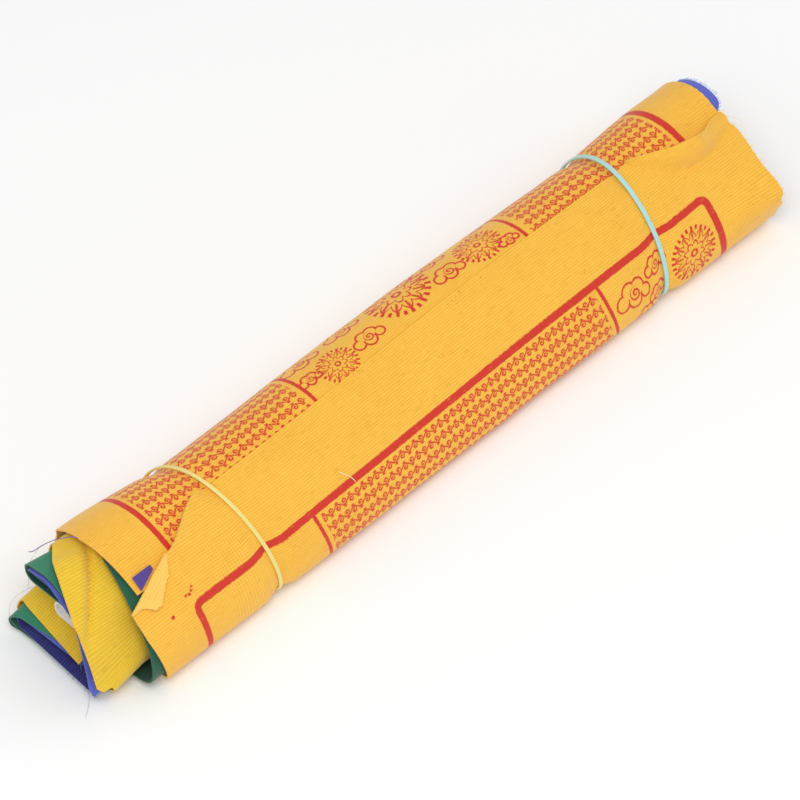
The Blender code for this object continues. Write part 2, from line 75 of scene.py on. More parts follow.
# The section at an angle from the crest towards the front: four quarters of superellipses whose
# half axes shrink by the inset, cut off level at the bottom.
def outlineAt(angle, inset):
    across, up = np.sin(angle), np.cos(angle)
    waist = roll["waistZ"] + roll["waistClimb"] * inset
    reach = np.where(across > 0, roll["frontReach"], roll["backReach"]) - inset
    rise = np.where(up > 0, roll["crestZ"] - inset - waist, waist - inset + roll["undersideDip"])
    topPower = np.where(across > 0, roll["frontTopPower"], roll["backTopPower"])
    power = 2 / np.where(up > 0, topPower, roll["undersidePower"])
    y = roll["crestY"] - np.sign(across) * reach * np.abs(across) ** power
    z = waist + np.sign(up) * rise * np.abs(up) ** power
    return y, np.maximum(z, inset)


# The distance run along a line of points, from its first.
def runAlong(points):
    return np.concatenate([[0], np.cumsum(np.linalg.norm(np.diff(points, axis=0), axis=1))])


angleTable = np.linspace(0, 2 * math.pi, 2881)
arcTable = runAlong(np.stack(outlineAt(angleTable, 0.0), axis=1))
girth = arcTable[-1]


# The section's y and z at a distance from the crest, measured along the outer outline.
def section(arc, inset):
    return outlineAt(np.interp(np.mod(arc, girth), arcTable, angleTable), inset)


# The outer flag's depth: none for most of a turn, then one layer where its own edge covers it.
def outerInset(arc):
    return roll["pitch"] * smooth(arc / girth, roll["sinkStart"], roll["sinkEnd"])


# The next turn's depth: one layer, or two where the outer flag lies double.
def innerInset(arc):
    share = np.mod(arc, girth) / girth
    covered = roll["turns"] - 1 + roll["coverMargin"]
    leaves = 1 - smooth(share, covered, covered + roll["coverFade"])
    returns = smooth(share, roll["sinkStart"], roll["sinkEnd"])
    return roll["pitch"] * (1 + np.maximum(leaves, returns))


# Ideal millimetres to the uneven roll in metres: each band draws the section in by a bell curve,
# both ends swell, the right end's crest is pressed in, and slow sine waves bend the whole.
def shaped(x, y, z):
    x, y, z = np.broadcast_arrays(np.asarray(x, float), y, z)
    centreY, centreZ = roll["centre"]
    for band in bands:
        away = x - band["x"]
        lean = band["leanY"] * (y - centreY) + band["leanZ"] * (z - centreZ)
        lean = lean * (1 - smooth(np.abs(away), groove["leanHold"], groove["leanFade"]))
        scale = 1 - groove["pinch"] * np.exp(-((away / groove["spread"]) ** 2))
        y = centreY + scale * (y - centreY)
        z = centreZ + scale * (z - centreZ)
        x = x + lean
    swell = ends["swellLeft"] * smooth(-x, ends["swellFrom"], ends["swellTo"])
    swell = swell + ends["swellRight"] * smooth(x, ends["swellFrom"], ends["swellTo"])
    y = y + swell * (y - (roll["crestY"] - roll["frontReach"]))
    z = z * (1 + swell)
    high = smooth(z, ends["upperFrom"], ends["upperTo"])
    press = ends["pressDepth"] * smooth(x, ends["pressFrom"], roll["halfLength"])
    z = z - press * high * np.exp(-(((y - ends["pressY"]) / ends["pressSpread"]) ** 2))
    z = z + high * ends["sway"] * np.sin(x / ends["swayLength"] + y / ends["swayDepth"])
    bend = ends["sway"] * smooth(z, ends["bendFrom"], ends["bendTo"])
    y = y + bend * np.sin(x / ends["bendLength"] + ends["bendPhase"])
    return (np.stack([x, y, z], axis=-1) + np.array(roll["shift"])) * mm


# Unit normals of a grid of points: the cross product of its two finite differences.
def gridNormals(points, side):
    down = np.gradient(points, axis=0)
    along = np.gradient(points, axis=1)
    normal = np.cross(down, along) * side
    return normal / np.maximum(np.linalg.norm(normal, axis=-1, keepdims=True), 1e-12)


# Faces turned outwards: all are reversed where the volume inside them comes out negative.
def facingOut(points, faces):
    a, b, c, d = (points[faces[:, k]] for k in range(4))
    volume = np.einsum("ij,ij->", a, np.cross(b, c)) + np.einsum("ij,ij->", a, np.cross(c, d))
    return faces[:, ::-1] if volume < 0 else faces


# A new object from arrays, smooth but for its sharp cut edges, with a place on the cloth per point.
def newPiece(name, points, faces, place, materials, sharp=50):
    mesh = bpy.data.meshes.new(name)
    points = points.reshape(-1, 3)
    mesh.from_pydata(points.tolist(), [], facingOut(points, faces).tolist())
    mesh.update()
    attribute = mesh.attributes.new("clothPlace", "FLOAT_VECTOR", "POINT")
    attribute.data.foreach_set("vector", np.asarray(place, np.float32).ravel())
    mesh.shade_smooth()
    mesh.set_sharp_from_angle(angle=math.radians(sharp))
    for material in materials:
        mesh.materials.append(material)
    piece = bpy.data.objects.new(name, mesh)
    bpy.context.scene.collection.objects.link(piece)
    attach(piece, "root")
    return piece


# The faces of a closed sheet on two grids of the same size: outer, inner and the rim around them.
def sheetFaces(rows, columns):
    count = rows * columns
    index = np.arange(count).reshape(rows, columns)
    outer = np.stack([index[:-1, :-1], index[1:, :-1], index[1:, 1:], index[:-1, 1:]], axis=-1).reshape(-1, 4)
    inner = outer[:, ::-1] + count
    border = np.concatenate([index[0, :], index[1:, -1], index[-1, -2::-1], index[-2:0:-1, 0]])
    following = np.roll(border, -1)
    around = np.stack([border, following, following + count, border + count], axis=1)
    return np.concatenate([outer, inner, around])


# A closed cloth sheet: the outer grid, and the same grid moved in by the thickness along its normals.
# The place is (u, v, side) in metres, with side 0 on the outer face and 1 on the inner one.
def clothSheet(name, outer, u, v, material, nodes, side=1):
    rows, columns = outer.shape[:2]
    inner = outer - gridNormals(outer, side) * (roll["cloth"] * mm)
    faces = sheetFaces(rows, columns)
    u, v = np.broadcast_arrays(u, v)
    flatPlace = np.stack([u * mm, v * mm], axis=-1).reshape(-1, 2)
    zero, one = np.zeros((len(flatPlace), 1)), np.ones((len(flatPlace), 1))
    place = np.concatenate([np.hstack([flatPlace, zero]), np.hstack([flatPlace, one])])
    points = np.concatenate([outer.reshape(-1, 3), inner.reshape(-1, 3)])
    piece = newPiece(name, points, faces, place, [material])
    if nodes:
        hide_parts(*nodes)
    return piece


# A shader value that can be used in plain arithmetic: each operation adds one Math node.
class Field:
    def __init__(self, tree, socket):
        self.tree, self.socket = tree, socket

    def op(self, operation, *others, clamp=False):
        node = self.tree.nodes.new("ShaderNodeMath")
        node.operation, node.use_clamp = operation, clamp
        for index, item in enumerate((self, *others)):
            if isinstance(item, Field):
                self.tree.links.new(item.socket, node.inputs[index])
            else:
                node.inputs[index].default_value = item
        return Field(self.tree, node.outputs[0])

    __add__ = __radd__ = partialmethod(op, "ADD")
    __sub__ = partialmethod(op, "SUBTRACT")
    __mul__ = __rmul__ = partialmethod(op, "MULTIPLY")
    __truediv__ = partialmethod(op, "DIVIDE")
    __neg__ = partialmethod(op, "MULTIPLY", -1.0)
    abs = partialmethod(op, "ABSOLUTE")
    floor = partialmethod(op, "FLOOR")
    fraction = partialmethod(op, "FRACT")
    root = partialmethod(op, "SQRT")
    sine = partialmethod(op, "SINE")
    low = partialmethod(op, "MINIMUM")
    high = partialmethod(op, "MAXIMUM")
    over = partialmethod(op, "GREATER_THAN")
    clamped = partialmethod(op, "ADD", 0.0, clamp=True)

    # A number less the field.
    def __rsub__(self, other):
        return self * -1.0 + other

    # A soft step down: 1 where the value is under -soft, 0 where it is over soft.
    def inside(self, soft):
        return (0.5 - self * (0.5 / soft)).clamped()


# The length of the vector (x, y).
def length(x, y):
    return (x * x + y * y).root()


# The turn of the vector (x, y), from 0 to 1.
def turnOf(x, y):
    return y.op("ARCTAN2", x) * (0.5 / math.pi) + 0.5


# A node group with the named sockets, and its input fields.
def newGroup(name, inputs, outputs):
    tree = bpy.data.node_groups.new(name, "ShaderNodeTree")
    for label, kind, value in inputs:
        socket = tree.interface.new_socket(label, in_out="INPUT", socket_type=kind)
        if value is not None:
            socket.default_value = value
    for label, kind in outputs:
        tree.interface.new_socket(label, in_out="OUTPUT", socket_type=kind)
    source, target = tree.nodes.new("NodeGroupInput"), tree.nodes.new("NodeGroupOutput")
    return tree, source, target


# The three parts of a vector socket.
def partsOf(tree, socket):
    node = tree.nodes.new("ShaderNodeSeparateXYZ")
    tree.links.new(socket, node.inputs[0])
    return [Field(tree, output) for output in node.outputs]


# A vector socket from two or three fields or numbers.
def vectorOf(tree, *items):
    node = tree.nodes.new("ShaderNodeCombineXYZ")
    for index, item in enumerate(items):
        if isinstance(item, Field):
            tree.links.new(item.socket, node.inputs[index])
        else:
            node.inputs[index].default_value = item
    return node.outputs[0]


# Smooth noise around 0.5 at a vector.
def noiseAt(tree, vector, scale, detail=2.0, roughness=0.5):
    node = tree.nodes.new("ShaderNodeTexNoise")
    tree.links.new(vector, node.inputs["Vector"])
    node.inputs["Scale"].default_value = scale
    node.inputs["Detail"].default_value = detail
    node.inputs["Roughness"].default_value = roughness
    return Field(tree, node.outputs["Fac"])


# An even random number from 0 to 1 for each whole vector.
def diceAt(tree, *items):
    node = tree.nodes.new("ShaderNodeTexWhiteNoise")
    tree.links.new(vectorOf(tree, *items), node.inputs["Vector"])
    return Field(tree, node.outputs["Value"])


# The threads' pitches and unevenness in millimetres, and the strengths of the weave's parts.
weave = {
    "warp": 0.86, "weft": 0.74, "slub": 0.35, "slubAlong": 0.12, "slubAcross": 0.5, "runLength": 0.25,
    "under": 0.35, "ridge": 0.7, "warpBase": 0.5, "weftBase": 0.35, "holes": 0.9,
    "warpGap": 1.4, "warpGapOff": 0.15, "weftGap": 1.2, "weftGapOff": 0.25,
    "fleckLength": 0.55, "fleckStagger": 0.37, "fleckLimit": 0.985,
}


# Plain weave at a place in metres: raised threads along u and v, the square of a sine each, uneven
# with stretched noise. Height is 0 to 1, Gap is 1 between threads, Fleck marks rare dark threads.
def makeWeaveGroup():
    tree, source, target = newGroup(
        "plainWeave",
        [("Place", "NodeSocketVector", None), ("Warp Pitch", "NodeSocketFloat", weave["warp"]),
         ("Weft Pitch", "NodeSocketFloat", weave["weft"])],
        [("Height", "NodeSocketFloat"), ("Gap", "NodeSocketFloat"), ("Fleck", "NodeSocketFloat")])
    u, v, _ = partsOf(tree, source.outputs["Place"])
    u, v = u * 1000.0, v * 1000.0
    warp = Field(tree, source.outputs["Warp Pitch"])
    weft = Field(tree, source.outputs["Weft Pitch"])
    near, far = weave["slubAlong"], weave["slubAcross"]
    wander = noiseAt(tree, vectorOf(tree, u * near, v * far), 1.0, 2.0) - 0.5
    sway = noiseAt(tree, vectorOf(tree, u * far, v * near), 1.0, 2.0) - 0.5
    lineV = (v + wander * weave["slub"]) / warp
    lineU = (u + sway * weave["slub"]) / weft
    warpRow, weftRow = lineV.floor(), lineU.floor()
    ridgeV = (lineV * math.pi).sine().abs()
    ridgeU = (lineU * math.pi).sine().abs()
    thick = noiseAt(tree, vectorOf(tree, u * weave["runLength"], warpRow * 7.3), 1.0, 1.0)
    thin = noiseAt(tree, vectorOf(tree, weftRow * 5.1, v * weave["runLength"]), 1.0, 1.0)
    parity = ((warpRow + weftRow) * 0.5).fraction().over(0.25)
    under = parity * weave["under"] + (1.0 - weave["under"])
    warpRidge = ridgeV * (thick * weave["ridge"] + weave["warpBase"]) * under
    weftRidge = ridgeU * (thin * weave["ridge"] + weave["weftBase"]) * (2.0 - weave["under"] - under)
    height = warpRidge.high(weftRidge)
    holes = (1.0 - ridgeV) * (1.0 - ridgeU)
    warpGap = (1.0 - ridgeV) * (thick * weave["warpGap"] - weave["warpGapOff"])
    weftGap = (1.0 - ridgeU) * (thin * weave["weftGap"] - weave["weftGapOff"])
    gap = (warpGap + holes * weave["holes"] + weftGap).clamped()
    stretch = (u * weave["fleckLength"] + warpRow * weave["fleckStagger"]).floor()
    fleck = diceAt(tree, warpRow, stretch, 3.0).over(weave["fleckLimit"]) * ridgeV
    for label, field in (("Height", height), ("Gap", gap), ("Fleck", fleck)):
        tree.links.new(field.socket, target.inputs[label])
    return tree


# Signed distance to a line, half a width wide, from the distance to its middle.
def strokeAt(value, width):
    return value.abs() - width / 2


# The nearest of several shapes: the least of their distances.
def nearest(shapes):
    least = shapes[0]
    for shape in shapes[1:]:
        least = least.low(shape)
    return least


# A spiral arm of the given turn pitch, cut off at a radius: the distance to the curve r = pitch * turn.
def spiral(x, y, pitch, radius, width):
    r = length(x, y)
    arm = ((r / pitch - turnOf(x, y)).fraction() - 0.5).abs() * pitch - width / 2
    return arm.high(r - radius)


# The running vine in millimetres: the width of a bay, the stem's wave, the tendril and the leaf.
vine = {"bay": 2.6, "wave": 0.68, "stroke": 0.58, "steep": 0.85, "curl": 0.95, "curlPitch": 0.86,
        "curlPlace": 0.35, "leaf": 0.36, "leafPlace": 1.2, "leafLong": 0.6, "stagger": 7.0}


# Rows of running vine: the stem waves as A * sin(pi * u / bay), a tendril curls in each bay, by turns
# above and below the stem, and a leaf sits on each crest, all as signed distances in millimetres.
def vineRows(tree, u, v, pitch):
    row = (v / pitch).floor()
    y = v - (row + 0.5) * pitch
    shifted = u / vine["bay"] + diceAt(tree, row, 4.0, 1.0) * vine["stagger"]
    bay = shifted.floor()
    x = (shifted - bay - 0.5) * vine["bay"]
    facing = 1.0 - (bay * 0.5).fraction().over(0.25) * 2.0
    stem = strokeAt(y - (shifted * math.pi).sine() * vine["wave"], vine["stroke"]) * vine["steep"]
    turned = y * facing
    tendril = spiral(x, turned + vine["curlPlace"], vine["curlPitch"], vine["curl"], vine["stroke"])
    leaf = length(x * vine["leafLong"], turned - vine["leafPlace"]) - vine["leaf"]
    return nearest([stem, tendril, leaf])


# A flower's rings of petals, its ribs, rays and seed head, in shares of its size.
flowerForm = {
    "innerPetals": 8, "innerRadius": 0.30, "innerReach": 0.16, "innerLine": 0.034,
    "outerPetals": 12, "outerTurn": 0.6, "outerRadius": 0.60, "outerReach": 0.24, "outerLine": 0.038,
    "ribFrom": 0.50, "ribTo": 0.80, "ribWidth": 0.93, "ribSlope": 0.25,
    "rays": 52, "rayFrom": 0.88, "rayTo": 1.04, "rayWidth": 0.12, "raySlope": 0.07, "rayFollows": 0.05,
    "seedRadius": 0.12, "seedLine": 0.045,
}


# A flower seen from above: each ring of petals is r = R + A * |sin(n * turn)|, with ribs between the
# petals, fine rays round the rim and a seed head.
def flowerShape(x, y, size):
    form = flowerForm
    r, turn = length(x, y) / size, turnOf(x, y)
    inner = (turn * (form["innerPetals"] * math.pi)).sine().abs()
    outer = (turn * (form["outerPetals"] * math.pi) + form["outerTurn"]).sine().abs()
    innerRing = (r - form["innerRadius"] - inner * form["innerReach"]).abs() - form["innerLine"]
    outerRing = (r - form["outerRadius"] - outer * form["outerReach"]).abs() - form["outerLine"]
    ribs = ((form["ribWidth"] - outer) * form["ribSlope"]).high(form["ribFrom"] - r).high(r - form["ribTo"])
    rays = (form["rayWidth"] - (turn * (form["rays"] * math.pi)).sine()) * form["raySlope"]
    rays = rays.high(form["rayFrom"] - r - outer * form["rayFollows"]).high(r - form["rayTo"])
    seed = (r - form["seedRadius"]).abs() - form["seedLine"]
    return nearest([innerRing, outerRing, ribs, rays, seed]) * size


# A cloud's lobes, each with its centre and radius, and the curl inside, in shares of its size.
cloudLobes = ((-0.9, 0.1, 0.45), (-0.3, -0.35, 0.5), (0.4, -0.3, 0.5), (0.95, 0.15, 0.4), (0.0, 0.25, 0.5))
cloudCurl = {"x": 0.1, "y": -0.05, "pitch": 0.27, "radius": 0.42, "width": 0.13}
cloudLine = 0.34


# A cloud: the outline of five round lobes joined, with a curl inside.
def cloudShape(x, y, size):
    x, y = x / size, y / size
    lobes = nearest([length(x - lobeX, y - lobeY) - radius for lobeX, lobeY, radius in cloudLobes])
    curl = spiral(x - cloudCurl["x"], y - cloudCurl["y"], cloudCurl["pitch"], cloudCurl["radius"],
                  cloudCurl["width"])
    return (lobes.abs() * size - cloudLine).low(curl * size)


# A node group that draws one shape: the signed distance in millimetres at X and Y for a Size.
def shapeGroup(name, draw):
    tree, source, target = newGroup(name, [(label, "NodeSocketFloat", None) for label in ("X", "Y", "Size")],
                                    [("Distance", "NodeSocketFloat")])
    x, y, size = (Field(tree, source.outputs[label]) for label in ("X", "Y", "Size"))
    tree.links.new(draw(x, y, size).socket, target.inputs["Distance"])
    return tree


# The shapes of one table, drawn by one group, each with its place along and down the flag and its size.
def placedAll(tree, group, u, v, places):
    shapes = []
    for placeU, placeV, size in places:
        node = tree.nodes.new("ShaderNodeGroup")
        node.node_tree = group
        tree.links.new((u - placeU).socket, node.inputs["X"])
        tree.links.new((v - placeV).socket, node.inputs["Y"])
        node.inputs["Size"].default_value = size
        shapes.append(Field(tree, node.outputs["Distance"]))
    return nearest(shapes)


ripple = {"step": 3.4, "spacing": 0.36, "halfLine": 0.17, "middle": 96.0, "reach": 6.5}


# Rows of overlapping ripples: arcs round centres set half a step apart in every second row.
def rippleRows(u, v):
    step, spacing = ripple["step"], ripple["step"] * ripple["spacing"]
    row = (v / step).floor()
    offset = (row * 0.5).fraction()
    x = ((u / (2 * step) + offset).fraction() - 0.5) * (2 * step)
    y = v - (row + 1.0) * step
    return ((length(x, y) / spacing).fraction() - 0.5).abs() * spacing - ripple["halfLine"]


# The print's layout in millimetres on the flag: u along the roll, v down from the flag's free edge.
ink = {
    "leftTop": -105.8, "leftFar": -104.0, "rightTop": 102.0, "rightFar": 107.5, "farDown": 104.0,
    "lower": 1.0, "skew": 0.0121, "skewFrom": -105.0, "topLine": 26.5, "lowLine": 86.3, "corner": 2.2,
    "borderWidth": 2.4, "dividerWidth": 1.25, "dividerSlope": 0.15,
    "nearLeft": -60.0, "nearRight": 55.7, "farLeft": -37.5, "farRight": 48.5,
    "rowPitch": 3.7, "rowStart": 28.2, "rowMargin": 2.0, "rowSide": 2.5, "rowEnd": 1.0, "pictureMargin": 1.5,
    "rough": 0.85, "roughScale": 1.1, "edge": 0.16, "spotSquash": 1.3,
}
# How unevenly the ink lies: patches and threads left pale, and stray specks.
wear = {
    "patchScale": 0.35, "threadU": 0.4, "threadV": 1.4, "threadScale": 1.5, "patch": 0.5, "thread": 0.8,
    "from": 0.78, "strength": 2.6, "speckScale": 1.7, "speckPatches": 0.12, "speckShare": 0.5,
    "speckFrom": 0.985, "speckGain": 12.0, "speckStrength": 0.5,
}
# Each flower's, cloud's and ink spot's place along and down the flag, and its size, in millimetres.
pictureFlowers = ((7.0, 127.4, 10.5), (-24.0, 135.4, 6.5), (36.0, 132.4, 7.5))
pictureClouds = (
    (-30.0, 123.4, 5.2), (-13.0, 123.4, 4.8), (-11.0, 134.9, 4.2), (22.0, 123.4, 4.8), (22.5, 134.4, 4.2),
    (43.5, 121.4, 3.6), (43.5, 138.4, 2.6), (-33.5, 133.4, 3.0), (-30.0, 112.4, 4.0), (4.0, 110.4, 4.4),
    (32.0, 111.4, 4.0),
)
cornerFlowers = ((92.5, 38.5, 7.4),)
cornerClouds = ((67.0, 37.0, 5.4), (78.5, 33.5, 3.6), (78.0, 42.0, 3.2), (72.0, 47.0, 4.0),
                (64.0, 60.0, 4.4), (86.0, 56.0, 5.0))
inkSpots = ((-114.5, 24.5, 0.7), (-106.0, 22.1, 0.6), (-107.3, 21.8, 0.5), (-105.0, 21.4, 0.5),
            (-104.2, 20.6, 0.4))


# The frame with its round corners, the line under the near panels, and the dividers of both halves.
def printLines(u, v, leant, within, near):
    sideways, above = within + ink["corner"], ink["topLine"] - v + ink["corner"]
    outside = length(sideways.high(0.0), above.high(0.0))
    rounded = outside + sideways.high(above).low(0.0) - ink["corner"]
    frameLine = strokeAt(rounded, ink["borderWidth"])
    lowLine = strokeAt(near, ink["dividerWidth"]).high(within)
    nearDividers, farDividers = (
        nearest([strokeAt(across - ink[name], ink["dividerWidth"]) for name in names])
        for across, names in ((leant, ("nearLeft", "nearRight")), (u, ("farLeft", "farRight"))))
    nearDividers = nearDividers.high(near).high(ink["topLine"] - v)
    return nearest([frameLine, lowLine, nearDividers, farDividers.high(-near)])


# The vine rows between the near dividers, and outside the far ones.
def printRows(tree, u, v, leant, within, near):
    margin = ink["rowMargin"]
    nearRows = (ink["nearLeft"] + margin - leant).high(leant - ink["nearRight"] + margin)
    nearRows = nearRows.high(ink["rowStart"] - v).high(near + ink["rowEnd"])
    farRows = (u - ink["farLeft"] + margin).low(ink["farRight"] + ink["rowSide"] - u)
    farRows = farRows.high(within + ink["rowSide"]).high(ink["rowEnd"] - near)
    rows = vineRows(tree, u, v - ink["rowStart"], ink["rowPitch"])
    return rows.high(nearRows.low(farRows))


# The flowers, clouds and ripples of the far panel, and the flowers and clouds of the near one.
def printPictures(tree, u, v, near):
    flower, cloud = shapeGroup("flowerShape", flowerShape), shapeGroup("cloudShape", cloudShape)
    picture = placedAll(tree, flower, u, v, pictureFlowers)
    picture = picture.low(placedAll(tree, cloud, u, v, pictureClouds))
    water = rippleRows(u, v).high((v - ripple["middle"]).abs() - ripple["reach"])
    water = water.high(ink["farLeft"] + ink["rowMargin"] - u).high(u - ink["farRight"] + ink["rowMargin"])
    picture = picture.low(water).high(ink["pictureMargin"] - near)
    corner = placedAll(tree, flower, u, v, cornerFlowers).low(placedAll(tree, cloud, u, v, cornerClouds))
    return picture.low(corner.high(near))


# The ink mask of the whole print: the frame, its dividers, vine rows and pictures, with the rough edge
# of a woodblock, thin patches and small stray specks.
def makePrintGroup():
    tree, source, target = newGroup("blockPrint", [("Place", "NodeSocketVector", None)],
                                    [("Ink", "NodeSocketFloat")])
    u, v, _ = partsOf(tree, source.outputs["Place"])
    u, v = u * 1000.0, v * 1000.0
    plain = vectorOf(tree, u, v)
    u = u + (noiseAt(tree, plain, ink["roughScale"], 4.0, 0.7) - 0.5) * ink["rough"]
    shifted = vectorOf(tree, u, v, 5.0)
    v = v + (noiseAt(tree, shifted, ink["roughScale"], 4.0, 0.7) - 0.5) * ink["rough"]
    spots = nearest([length(u - spotU, (v - spotV) * ink["spotSquash"]) - radius
                     for spotU, spotV, radius in inkSpots])
    v = v + ink["lower"] + (u - ink["skewFrom"]) * ink["skew"]
    share = (v - ink["topLine"]) / ink["farDown"]
    left = share * (ink["leftFar"] - ink["leftTop"]) + ink["leftTop"]
    right = share * (ink["rightFar"] - ink["rightTop"]) + ink["rightTop"]
    within, near = (left - u).high(u - right), v - ink["lowLine"]
    leant = u - (v - ink["topLine"]) * ink["dividerSlope"]
    lines, rows = printLines(u, v, leant, within, near), printRows(tree, u, v, leant, within, near)
    mask = nearest([lines, rows, printPictures(tree, u, v, near), spots]).inside(ink["edge"])

    patch = noiseAt(tree, shifted, wear["patchScale"], 2.0)
    stretched = vectorOf(tree, u * wear["threadU"], v * wear["threadV"])
    thread = noiseAt(tree, stretched, wear["threadScale"], 2.0)
    pale = (thread * wear["thread"] + patch * wear["patch"]) - wear["from"]
    mask = mask * (1.0 - pale.clamped() * wear["strength"]).clamped()
    speckPatches = noiseAt(tree, shifted, wear["speckPatches"], 1.0)
    specks = noiseAt(tree, shifted, wear["speckScale"], 2.0) + speckPatches * wear["speckShare"]
    specks = ((specks - wear["speckFrom"]) * wear["speckGain"]).clamped() * wear["speckStrength"]
    tree.links.new(mask.high(specks).clamped().socket, target.inputs["Ink"])
    return tree


weaveGroup = makeWeaveGroup()
printGroup = makePrintGroup()
print("stage: weave and print groups made")


# Mixes two colours by a field: each is a colour triple or a colour socket.
def mixColour(tree, amount, first, second):
    node = tree.nodes.new("ShaderNodeMix")
    node.data_type = "RGBA"
    tree.links.new(amount.socket, node.inputs["Factor"])
    for socket, item in ((node.inputs[6], first), (node.inputs[7], second)):
        if isinstance(item, (tuple, list)):
            socket.default_value = (*item, 1)
        else:
            tree.links.new(item, socket)
    return node.outputs[2]


# A new material of the given roughness, with its node tree and its shader.
def newMaterial(name, roughness):
    material = bpy.data.materials.new(name)
    material.use_nodes = True
    shader = material.node_tree.nodes["Principled BSDF"]
    shader.inputs["Roughness"].default_value = roughness
    return material, material.node_tree, shader


# A plain matt material of one colour.
def plainMaterial(name, colour, roughness):
    material, _, shader = newMaterial(name, roughness)
    shader.inputs["Base Color"].default_value = (*colour, 1)
    return material


# A bump from a height field, its depth in millimetres.
def addRelief(tree, shader, height, strength, depth):
    relief = tree.nodes.new("ShaderNodeBump")
    relief.inputs["Strength"].default_value = strength
    relief.inputs["Distance"].default_value = depth * mm
    tree.links.new(height.socket, relief.inputs["Height"])
    tree.links.new(relief.outputs["Normal"], shader.inputs["Normal"])


# The place on the cloth that each point carries.
def clothPlace(tree):
    attribute = tree.nodes.new("ShaderNodeAttribute")
    attribute.attribute_name = "clothPlace"
    return attribute.outputs["Vector"]


# The finish of all the cloth, and how strongly flecks, streaks, spots and slow clouds darken it.
finish = {
    "roughness": 0.85, "sheen": 0.25, "sheenRoughness": 0.5, "specular": 0.25, "bump": 0.3, "depth": 0.15,
    "darker": (0.80, 0.62, 0.45), "fleck": 0.3, "grain": 0.55, "cloudScale": 0.045, "cloudy": 0.4,
    "streakU": 260.0, "streakV": 1700.0, "streakFrom": 0.52, "spotScale": 1.3, "spotFrom": 0.70,
    "spotGain": 9.0, "spotClouds": 1.4, "spotOff": 0.2, "spot": 0.66, "printThrough": 0.8,
    "inkColour": (0.64, 0.036, 0.018),
}


# A cloth material: the weave darkens the colour between threads and gives the bump; the inner face takes the
# inside colour, which for the lemon, green and blue cloths is darker as painted shade of the roll's hollows.
# The outer face may carry the print, which shows faintly through on the inner face.
def clothMaterial(name, colour, inside, shade=0.45, printed=False):
    material, tree, shader = newMaterial(name, finish["roughness"])
    shader.inputs["Sheen Weight"].default_value = finish["sheen"]
    shader.inputs["Sheen Roughness"].default_value = finish["sheenRoughness"]
    shader.inputs["Specular IOR Level"].default_value = finish["specular"]
    place = clothPlace(tree)
    u, v, side = partsOf(tree, place)
    woven = tree.nodes.new("ShaderNodeGroup")
    woven.node_tree = weaveGroup
    tree.links.new(place, woven.inputs["Place"])
    woven.inputs["Warp Pitch"].default_value = weave["warp"]
    woven.inputs["Weft Pitch"].default_value = weave["weft"]
    height, gap, flecks = (Field(tree, woven.outputs[label]) for label in ("Height", "Gap", "Fleck"))
    cloudy = noiseAt(tree, vectorOf(tree, u * 1000.0, v * 1000.0), finish["cloudScale"], 3.0, 0.55)
    streaks = noiseAt(tree, vectorOf(tree, u * finish["streakU"], v * finish["streakV"]), 1.0, 3.0, 0.6)
    spots = noiseAt(tree, vectorOf(tree, u * 1000.0, v * 1000.0, 9.0), finish["spotScale"], 2.0, 0.6)
    spots = ((spots - finish["spotFrom"]) * finish["spotGain"]).clamped()
    spots = spots * (cloudy * finish["spotClouds"] - finish["spotOff"]).clamped()
    amount = gap * shade + flecks * finish["fleck"] + (cloudy - 0.5) * finish["cloudy"]
    amount = amount + (streaks - finish["streakFrom"]) * finish["grain"] + spots * finish["spot"]
    darker = [c * k for c, k in zip(colour, finish["darker"])]
    current = mixColour(tree, amount.clamped(), mixColour(tree, side, colour, inside), darker)
    if printed:
        block = tree.nodes.new("ShaderNodeGroup")
        block.node_tree = printGroup
        tree.links.new(place, block.inputs["Place"])
        mask = Field(tree, block.outputs["Ink"]) * (1.0 - side * finish["printThrough"])
        current = mixColour(tree, mask, current, finish["inkColour"])
    tree.links.new(current, shader.inputs["Base Color"])
    addRelief(tree, shader, height, finish["bump"], finish["depth"])
    return material


rubber = {"roughness": 0.42, "subsurface": 0.2, "radius": (0.002, 0.0015, 0.001), "acrossRate": 6000.0,
          "alongRate": 120.0, "darker": 0.82, "bump": 0.15, "depth": 0.05}


# Rubber: satin, a little see-through in colour, with fine marks along the band.
def rubberMaterial(name, colour):
    material, tree, shader = newMaterial(name, rubber["roughness"])
    shader.inputs["Subsurface Weight"].default_value = rubber["subsurface"]
    shader.inputs["Subsurface Radius"].default_value = rubber["radius"]
    u, v, _ = partsOf(tree, clothPlace(tree))
    streak = noiseAt(tree, vectorOf(tree, u * rubber["acrossRate"], v * rubber["alongRate"]), 1.0, 2.0)
    darker = [c * rubber["darker"] for c in colour]
    tree.links.new(mixColour(tree, streak, colour, darker), shader.inputs["Base Color"])
    addRelief(tree, shader, streak, rubber["bump"], rubber["depth"])
    return material


gold = clothMaterial("goldenCloth", (0.96, 0.55, 0.065), (0.98, 0.64, 0.13), shade=0.68, printed=True)
# The lemon, green and blue cloths' inner faces are painted darker, as shade inside the roll's hollows and
# lobes.
lemon = clothMaterial("lemonCloth", (0.88, 0.60, 0.04), (0.86, 0.50, 0.04), shade=0.7)
green = clothMaterial("greenCloth", (0.035, 0.24, 0.14), (0.012, 0.085, 0.05), shade=0.5)
blue = clothMaterial("blueCloth", (0.11, 0.15, 0.64), (0.018, 0.018, 0.15), shade=0.4)
# The green rim's cloth is a darker copy of the green cloth, painted shade for the rim low in the roll's
# shadow.
shadedGreen = clothMaterial("shadedGreenCloth", (0.02, 0.125, 0.075), (0.010, 0.06, 0.04), shade=0.5)
violet = clothMaterial("violetCloth", (0.10, 0.06, 0.30), (0.06, 0.04, 0.22), shade=0.4)
white = clothMaterial("whiteCloth", (0.93, 0.91, 0.89), (0.93, 0.91, 0.89), shade=0.2)
earCloth = clothMaterial("cornerUnderside", (0.98, 0.62, 0.13), (0.96, 0.50, 0.055))
red = clothMaterial("redCloth", (0.62, 0.04, 0.04), (0.60, 0.05, 0.05))
print("stage: materials made")


